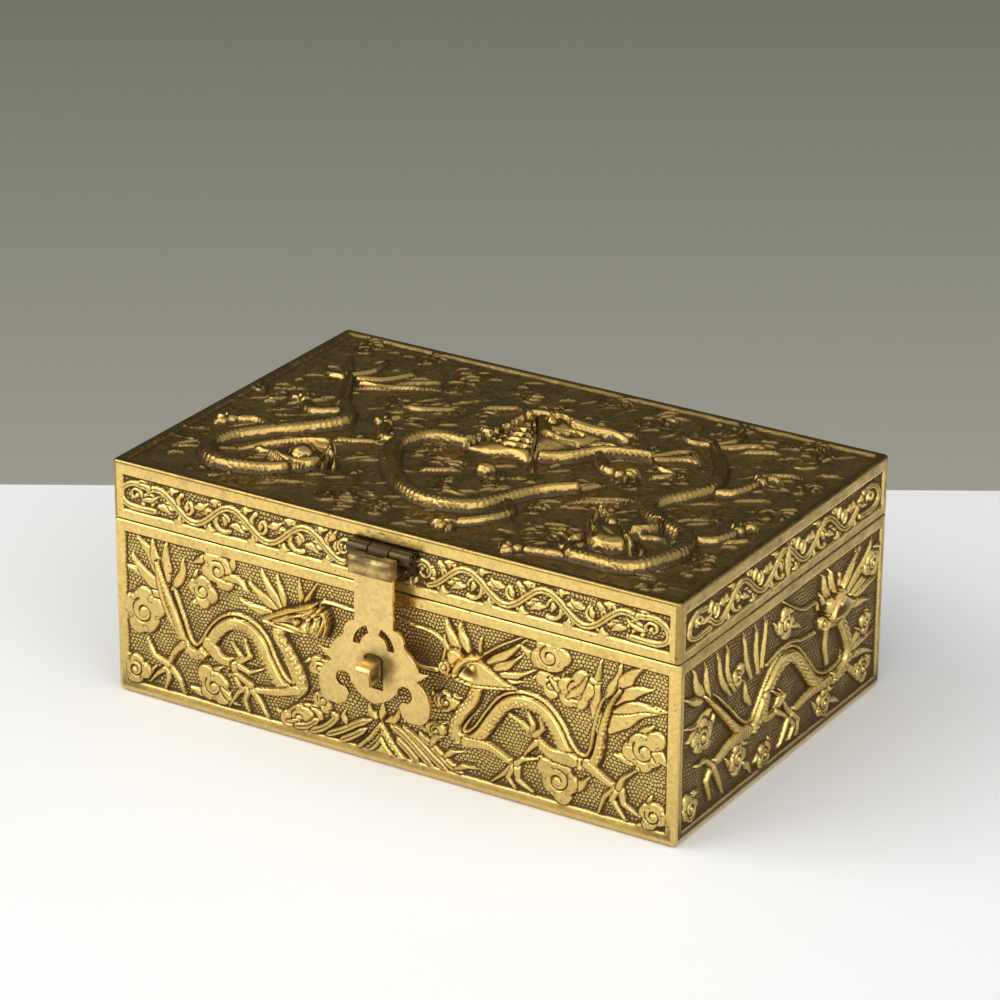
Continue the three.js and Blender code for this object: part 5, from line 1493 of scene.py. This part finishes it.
def knuckles_at(tree, x, length, y, z, radius, outer, material):
    """The two outer knuckles of a hinge in three parts, or its middle one."""
    third = length / 3
    if outer:
        inner_end = third / 2 + KNUCKLE_GAP
        size = length / 2 - inner_end
        middle = inner_end + size / 2
        count, start, step = 2, x - middle, 2 * middle
    else:
        size = third - 2 * KNUCKLE_GAP
        count, start, step = 1, x, 0.0
    thing = linked("knuckles", bpy.data.meshes.new("knuckles"))
    row = thing.modifiers.new("Knuckle row", "NODES")
    row.node_group = tree
    keys = {s.name: s.identifier for s in tree.interface.items_tree if s.in_out == "INPUT"}
    for name, value in (
            ("Count", count), ("Start", (start * MM, y * MM, z * MM)), ("Step", (step * MM, 0.0, 0.0)),
            ("Outer radius", radius * MM), ("Bore radius", BORE_RADIUS * MM), ("Length", size * MM),
            ("Material", material)):
        row[keys[name]] = value
    bm = bmesh.new()
    bm.from_mesh(baked(thing))
    return outward(bm, "knuckles")


def pin_mesh(x, length, y, z):
    half = length / 2
    tip = PIN_RADIUS - 0.25
    spans = [(x - half, tip), (x - half + 0.2, PIN_RADIUS), (x + half - 0.2, PIN_RADIUS), (x + half, tip)]
    return skin("pin", circle_rings(spans, y, z, 28), crisp=35)


def leaf_plate(x, y, z, notches):
    """A hinge leaf with soft edges, notched where the other leaf's knuckles turn."""
    cutters = []
    for a, b, middle_y, middle_z, radius in notches:
        rings = circle_rings([(a, radius), (b, radius)], middle_y, middle_z, 32)
        cutters.append(linked("notch", skin("notch", rings)))
    return cut_from(linked("leaf", skin("leaf", box_rings(x, y, z))), cutters, 0.12)


def rivet_mesh(x, y, z, radius):
    """A low domed rivet head on the back."""
    angles = [n / 20 * 2 * math.pi for n in range(20)]
    profile = ((-0.6, 1.0), (0.0, 1.0), (0.22, 0.88), (0.42, 0.6), (0.5, 0.25))
    rings = [[(x + radius * share * math.cos(a), y + out, z + radius * share * math.sin(a)) for a in angles]
             for out, share in profile]
    return skin("rivet", rings)


def lid_hinge_leaf(tree, x, up, material):
    """A leaf with its knuckles and rivets: on the lid where up is 1, and on the base where it is -1."""
    half = LID_HINGE_LENGTH / 2
    sixth = LID_HINGE_LENGTH / 6
    if up > 0:
        edge = sixth + KNUCKLE_GAP - NOTCH_ROOM
        spans = [(-half - NOTCH_ROOM, -edge), (edge, half + NOTCH_ROOM)]
        heights = (LID_HINGE_Z, 59.05)
    else:
        edge = sixth - KNUCKLE_GAP + NOTCH_ROOM
        spans = [(-edge, edge)]
        heights = (38.75, LID_HINGE_Z)
    radius = LID_KNUCKLE_RADIUS + NOTCH_ROOM
    notches = [(x + a, x + b, LID_HINGE_Y, LID_HINGE_Z, radius) for a, b in spans]
    parts = [
        leaf_plate((x - half, x + half), (54.3, 55.3), heights, notches),
        knuckles_at(tree, x, LID_HINGE_LENGTH, LID_HINGE_Y, LID_HINGE_Z, LID_KNUCKLE_RADIUS, up < 0,
                    material),
    ]
    parts += [rivet_mesh(x + dx, 55.25, LID_HINGE_Z + up * 6.6, 1.15) for dx in (-8, 8)]
    return joined_mesh("leaf", parts)


def hinges(tree, material):
    def piece(name, mesh, body):
        new_piece(f"{name}_fine", mesh, body, "hinge_brass", material, name)

    half = HASP_HINGE_LENGTH / 2
    inner = HASP_HINGE_LENGTH / 6 - KNUCKLE_GAP + NOTCH_ROOM
    notch = (HASP_X - inner, HASP_X + inner, HASP_HINGE_Y, HASP_HINGE_Z, HASP_KNUCKLE_RADIUS + NOTCH_ROOM)
    plate = leaf_plate((HASP_X - half, HASP_X + half), (-54.3, -53.4), (55.2, 60.9), [notch])
    outer = knuckles_at(tree, HASP_X, HASP_HINGE_LENGTH, HASP_HINGE_Y, HASP_HINGE_Z, HASP_KNUCKLE_RADIUS,
                        True, material)
    piece("hasp_leaf", joined_mesh("hasp_leaf_fine", [plate, outer]), "lid")
    piece("hasp_pin", pin_mesh(HASP_X, HASP_HINGE_LENGTH, HASP_HINGE_Y, HASP_HINGE_Z), "lid")
    for side, x in (("left", -LID_HINGE_X), ("right", LID_HINGE_X)):
        piece(f"base_hinge_leaf_{side}", lid_hinge_leaf(tree, x, -1, material), "base")
        piece(f"lid_hinge_leaf_{side}", lid_hinge_leaf(tree, x, 1, material), "lid")
        piece(f"lid_hinge_pin_{side}", pin_mesh(x, LID_HINGE_LENGTH, LID_HINGE_Y, LID_HINGE_Z), "base")


# Finishes

FINISHES = {
    "cast brass": {
        "Metal": (0.80, 0.57, 0.185, 1), "Patina and shade": (0.095, 0.055, 0.015, 1), "Stain": (0.36, 0.225, 0.065, 1),
        "Patina amount": 1.25, "Stain amount": 0.75, "Polish": 0.27, "Dullness": 0.5, "Verdigris": 0.0,
    },
    "aged brass": {
        "Metal": (0.39, 0.255, 0.075, 1), "Patina and shade": (0.074, 0.043, 0.012, 1), "Stain": (0.16, 0.095, 0.03, 1),
        "Patina amount": 1.15, "Stain amount": 0.8, "Polish": 0.25, "Dullness": 0.44, "Verdigris": 0.06,
    },
    "sheet brass": {
        "Metal": (0.78, 0.55, 0.2, 1), "Patina and shade": (0.07, 0.042, 0.014, 1), "Stain": (0.34, 0.205, 0.06, 1),
        "Patina amount": 0.6, "Stain amount": 0.5, "Polish": 0.23, "Dullness": 0.5, "Verdigris": 0.0,
    },
    "hinge brass": {
        "Metal": (0.085, 0.06, 0.028, 1), "Patina and shade": (0.04, 0.027, 0.012, 1), "Stain": (0.03, 0.022, 0.01, 1),
        "Patina amount": 1.0, "Stain amount": 0.8, "Polish": 0.33, "Dullness": 0.55, "Verdigris": 0.0,
    },
}


def finish_group():
    """Worn brass: bright on the high parts, dark patina in the low ones and painted shade laid on the mesh,
    darker towards the foot, with stains and fine scratches.
    """
    tree = bpy.data.node_groups.new("Worn brass", "ShaderNodeTree")
    add_sockets(tree, "INPUT", "Color", "Metal", "Patina and shade", "Stain")
    add_sockets(tree, "INPUT", "Float", "Patina amount", "Stain amount", "Polish", "Dullness", "Verdigris",
                "Handling and shadow")
    add_sockets(tree, "OUTPUT", "Color", "Color")
    add_sockets(tree, "OUTPUT", "Float", "Roughness", "Metallic", "Height")
    n = Nodes(tree)
    entry = n.add("NodeGroupInput").outputs
    coordinates = n.add("ShaderNodeTexCoord").outputs["Object"]

    def noise(scale, detail, roughness=0.6, source=coordinates):
        inputs = {"Vector": source, "Scale": scale, "Detail": detail, "Roughness": roughness}
        return n.add("ShaderNodeTexNoise", inputs).outputs[0]

    def mixed(share, a, b):
        return n.add("ShaderNodeMix", {0: share, 6: a, 7: b}, data_type="RGBA").outputs[2]

    def attribute(name, output):
        return n.add("ShaderNodeAttribute", attribute_name=name).outputs[output]

    wide = noise(28, 4, 0.55)
    mid = noise(160, 5)
    fine = noise(900, 4)
    specks = n.spread(noise(520, 4), 0.62, 0.72)
    tarnish_and_shade_level = n.plus(attribute("patina_and_shade", "Fac"), n.times(n.less(mid, 0.5), 0.35))
    # Patina in the gaps between the punched bosses, on the same rows as in the mesh
    bare = attribute("bare", "Fac")
    place = n.apart(attribute("place", "Vector"))
    row = n.times(place[1], 1 / (PUNCH_ROW * PUNCH_PITCH))
    shift = n.maths("FRACT", n.times(n.maths("FLOOR", row), 0.5))
    column = n.less(n.times(place[0], 1 / PUNCH_PITCH), shift)
    across = n.less(n.maths("FRACT", column), 0.5)
    along = n.times(n.less(n.maths("FRACT", row), 0.5), PUNCH_ROW)
    away = n.maths("SQRT", n.plus(n.times(across, across), n.times(along, along)))
    gap = n.times(n.spread(away, 0.37, 0.54), bare)
    tarnish_and_shade_level = n.plus(n.plus(tarnish_and_shade_level, n.times(gap, 0.46)), n.times(bare, 0.09))
    # Patina amount scales the painted shade along with the patina.
    tarnish_and_shade_level = n.times(tarnish_and_shade_level, entry["Patina amount"])
    tarnish_and_shade_level = n.plus(tarnish_and_shade_level, n.times(entry["Handling and shadow"], n.spread(mid, 0.2, 0.7, 0.6, 1.3)))
    tarnish_and_shade_share = n.spread(tarnish_and_shade_level, 0.03, 0.74)
    # Stains and specks, then the grain of the metal, with painted shade that darkens it near the foot
    stained = n.times(n.spread(wide, 0.5, 0.74), n.spread(mid, 0.45, 0.75))
    stain = n.times(stained, entry["Stain amount"], clamp=True)
    stain = n.maths("MAXIMUM", stain, n.times(specks, entry["Stain amount"]), clamp=True)
    tinted = mixed(stain, entry["Metal"], entry["Stain"])
    foot = n.spread(n.apart(coordinates)[2], 0.0, 0.046, 0.82, 1.05)
    shade = n.times(n.spread(fine, 0.3, 0.7, 0.84, 1.08), foot)
    toned = n.add("ShaderNodeVectorMath", {0: tinted, "Scale": shade}, operation="SCALE").outputs[0]
    green = n.times(n.times(n.spread(wide, 0.52, 0.66), tarnish_and_shade_share), entry["Verdigris"])
    colour = mixed(green, mixed(tarnish_and_shade_share, toned, entry["Patina and shade"]), (0.12, 0.2, 0.13, 1))
    dull = n.maths("MAXIMUM", tarnish_and_shade_share, n.times(stain, 0.8))
    rough = n.add("ShaderNodeMix", {0: dull, 2: entry["Polish"], 3: entry["Dullness"]}, data_type="FLOAT")
    roughness = n.plus(rough.outputs[0], n.spread(mid, 0.3, 0.7, -0.06, 0.08), clamp=True)
    metallic = n.less(n.less(1.0, n.times(tarnish_and_shade_share, 0.35), clamp=True), n.times(green, 0.6), clamp=True)
    stretched = n.add("ShaderNodeMapping", {"Vector": coordinates, "Scale": (0.12, 0.12, 2.2)}).outputs[0]
    bumps = n.plus(n.times(fine, 0.5), n.times(noise(240, 3, source=stretched), 0.6))
    bumps = n.less(n.plus(bumps, n.times(mid, 0.9)), n.times(specks, 0.6))
    bumps = n.less(bumps, n.times(gap, 1.2))
    n.add("NodeGroupOutput", {"Color": colour, "Roughness": roughness, "Metallic": metallic, "Height": bumps})
    return tree


def brass(name, group, grain=0.4):
    material = bpy.data.materials.new(name)
    material.use_nodes = True
    n = Nodes(material.node_tree)
    look = n.add("ShaderNodeGroup", node_tree=group)
    for key, value in FINISHES[name].items():
        look.inputs[key].default_value = value
    bump = n.add("ShaderNodeBump", {"Strength": grain, "Distance": 0.00025, "Height": look.outputs["Height"]})
    shader = material.node_tree.nodes["Principled BSDF"]
    n.feed(shader.inputs["Base Color"], look.outputs["Color"])
    n.feed(shader.inputs["Roughness"], look.outputs["Roughness"])
    n.feed(shader.inputs["Metallic"], look.outputs["Metallic"])
    n.feed(shader.inputs["Normal"], bump.outputs["Normal"])
    return material


def smudge_and_shadow_hasp(material):
    """Handling has left the head of the hasp darker, and a painted shadow of the staple darkens the plate
    round it.
    """
    n = Nodes(material.node_tree)
    place = n.add("ShaderNodeTexCoord").outputs["Object"]
    staple = (0.0012, -0.0595, 0.0302)
    away = n.add("ShaderNodeVectorMath", {0: place, 1: staple}, operation="DISTANCE").outputs["Value"]
    # Painted shadow of the staple on the plate.
    ring = n.spread(away, 0.0025, 0.0085, 0.38, 0.0)
    sides = n.apart(place)
    levels = ((0.32, 0.0), (0.37, 0.5), (0.58, 0.3), (0.66, 0.46), (0.72, 0.5))
    height = n.spread(sides["Z"], 0.050, 0.062, kind="LINEAR")
    high = n.ramp(height, [(position, (level,) * 3) for position, level in levels])
    behind = n.spread(sides["Y"], -0.0584, -0.0578, kind="LINEAR")
    above = n.spread(sides["Z"], 0.0568, 0.0576, kind="LINEAR")
    upper = n.maths("MAXIMUM", high, n.times(behind, above))
    look = next(node for node in material.node_tree.nodes if node.type == "GROUP")
    n.feed(look.inputs["Handling and shadow"], n.plus(ring, upper))


# Stage

AZIMUTH = math.radians(31.453)
ELEVATION = math.radians(23.436)
DISTANCE = 1.091918
ROLL = math.radians(0.366)
TARGET = Vector((-0.000418, 0.0, 0.052834))
TABLE_FAR_EDGE = 0.131
WALL_AWAY = 1.5


def make_camera():
    level = math.cos(ELEVATION)
    back = Vector((math.sin(AZIMUTH) * level, -math.cos(AZIMUTH) * level, math.sin(ELEVATION)))
    right = (-back).cross(Vector((0, 0, 1))).normalized()
    up = right.cross(-back)
    rolled_right = right * math.cos(ROLL) + up * math.sin(ROLL)
    rolled_up = up * math.cos(ROLL) - right * math.sin(ROLL)
    data = bpy.data.cameras.new("camera")
    data.sensor_width = 36
    data.lens = 154.446
    data.clip_start = 0.01
    data.clip_end = 20
    camera = linked("camera", data)
    turn = Matrix((rolled_right, rolled_up, back)).transposed().to_4x4()
    camera.matrix_world = Matrix.Translation(TARGET + back * DISTANCE) @ turn
    bpy.context.scene.camera = camera


def plain(name, colour, roughness):
    material = bpy.data.materials.new(name)
    material.use_nodes = True
    shader = material.node_tree.nodes["Principled BSDF"]
    shader.inputs["Base Color"].default_value = (*colour, 1)
    shader.inputs["Roughness"].default_value = roughness
    return material


def stage_plane(name, corners, material):
    mesh = new_mesh(name, corners, [(0, 1, 2, 3)])
    mesh.materials.append(material)
    linked(name, mesh)


def area_light(name, place, aim, size, power, colour=(1, 1, 1)):
    data = bpy.data.lights.new(name, "AREA")
    data.shape = "RECTANGLE"
    data.size, data.size_y = size
    data.energy = power
    data.color = colour
    lamp = linked(name, data)
    lamp.location = place
    lamp.rotation_mode = "QUATERNION"
    lamp.rotation_quaternion = (Vector(aim) - Vector(place)).to_track_quat("-Z", "Y")


def wall_paint():
    """A wall that glows evenly: palest low down, where it meets the table, and darker higher up."""
    material = plain("wall", (0, 0, 0), 1.0)
    n = Nodes(material.node_tree)
    height = n.apart(n.add("ShaderNodeTexCoord").outputs["Object"])["Z"]
    stops = [(0.0, (0.335, 0.325, 0.27)), (0.34, (0.17, 0.17, 0.138)), (1.0, (0.1, 0.1, 0.08))]
    glow = n.ramp(n.spread(height, -0.6, 0.4, kind="LINEAR"), stops)
    shader = material.node_tree.nodes["Principled BSDF"]
    shader.inputs["Specular IOR Level"].default_value = 0.0
    n.feed(shader.inputs["Emission Color"], glow)
    shader.inputs["Emission Strength"].default_value = 1.0
    return material


def make_stage():
    away = Vector((-math.sin(AZIMUTH), math.cos(AZIMUTH), 0))
    across = Vector((math.cos(AZIMUTH), math.sin(AZIMUTH), 0))
    up = Vector((0, 0, 1))
    near = away * -1.6
    far = away * TABLE_FAR_EDGE
    side = across * 1.6
    stage_plane("table", [near - side, near + side, far + side, far - side],
                plain("table", (0.9, 0.9, 0.885), 0.55))
    foot = away * WALL_AWAY
    side = across * 4
    stage_plane("wall", [foot - side - up * 1.5, foot + side - up * 1.5, foot + side + up * 3,
                         foot - side + up * 3],
                wall_paint())
    world = bpy.data.worlds.new("soft light")
    world.use_nodes = True
    world.node_tree.nodes["Background"].inputs["Color"].default_value = (0.95, 0.96, 1.0, 1)
    world.node_tree.nodes["Background"].inputs["Strength"].default_value = 0.8
    bpy.context.scene.world = world
    bpy.context.scene.view_settings.view_transform = "Standard"
    area_light("key", (-0.8, -0.7, 0.95), (0, 0, 0.03), (1.1, 0.8), 8.3, (1, 0.985, 0.95))
    area_light("fill", (0.9, -0.7, 0.6), (0, 0, 0.03), (1.1, 0.8), 4.8)
    area_light("front", (0.1, -1.0, 1.0), (0, 0, 0), (0.9, 0.5), 3.0)


def main():
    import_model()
    make_camera()
    make_stage()
    group = finish_group()
    bright = brass("cast brass", group)
    dark = brass("aged brass", group)
    sheet = brass("sheet brass", group, 0.25)
    hinge = brass("hinge brass", group)
    smudge_and_shadow_hasp(sheet)
    shells(bright, dark)
    build_faces(bright, dark)
    tree = knuckle_nodes()
    hinges(tree, hinge)
    hasp_and_staple(tree, sheet)


main()
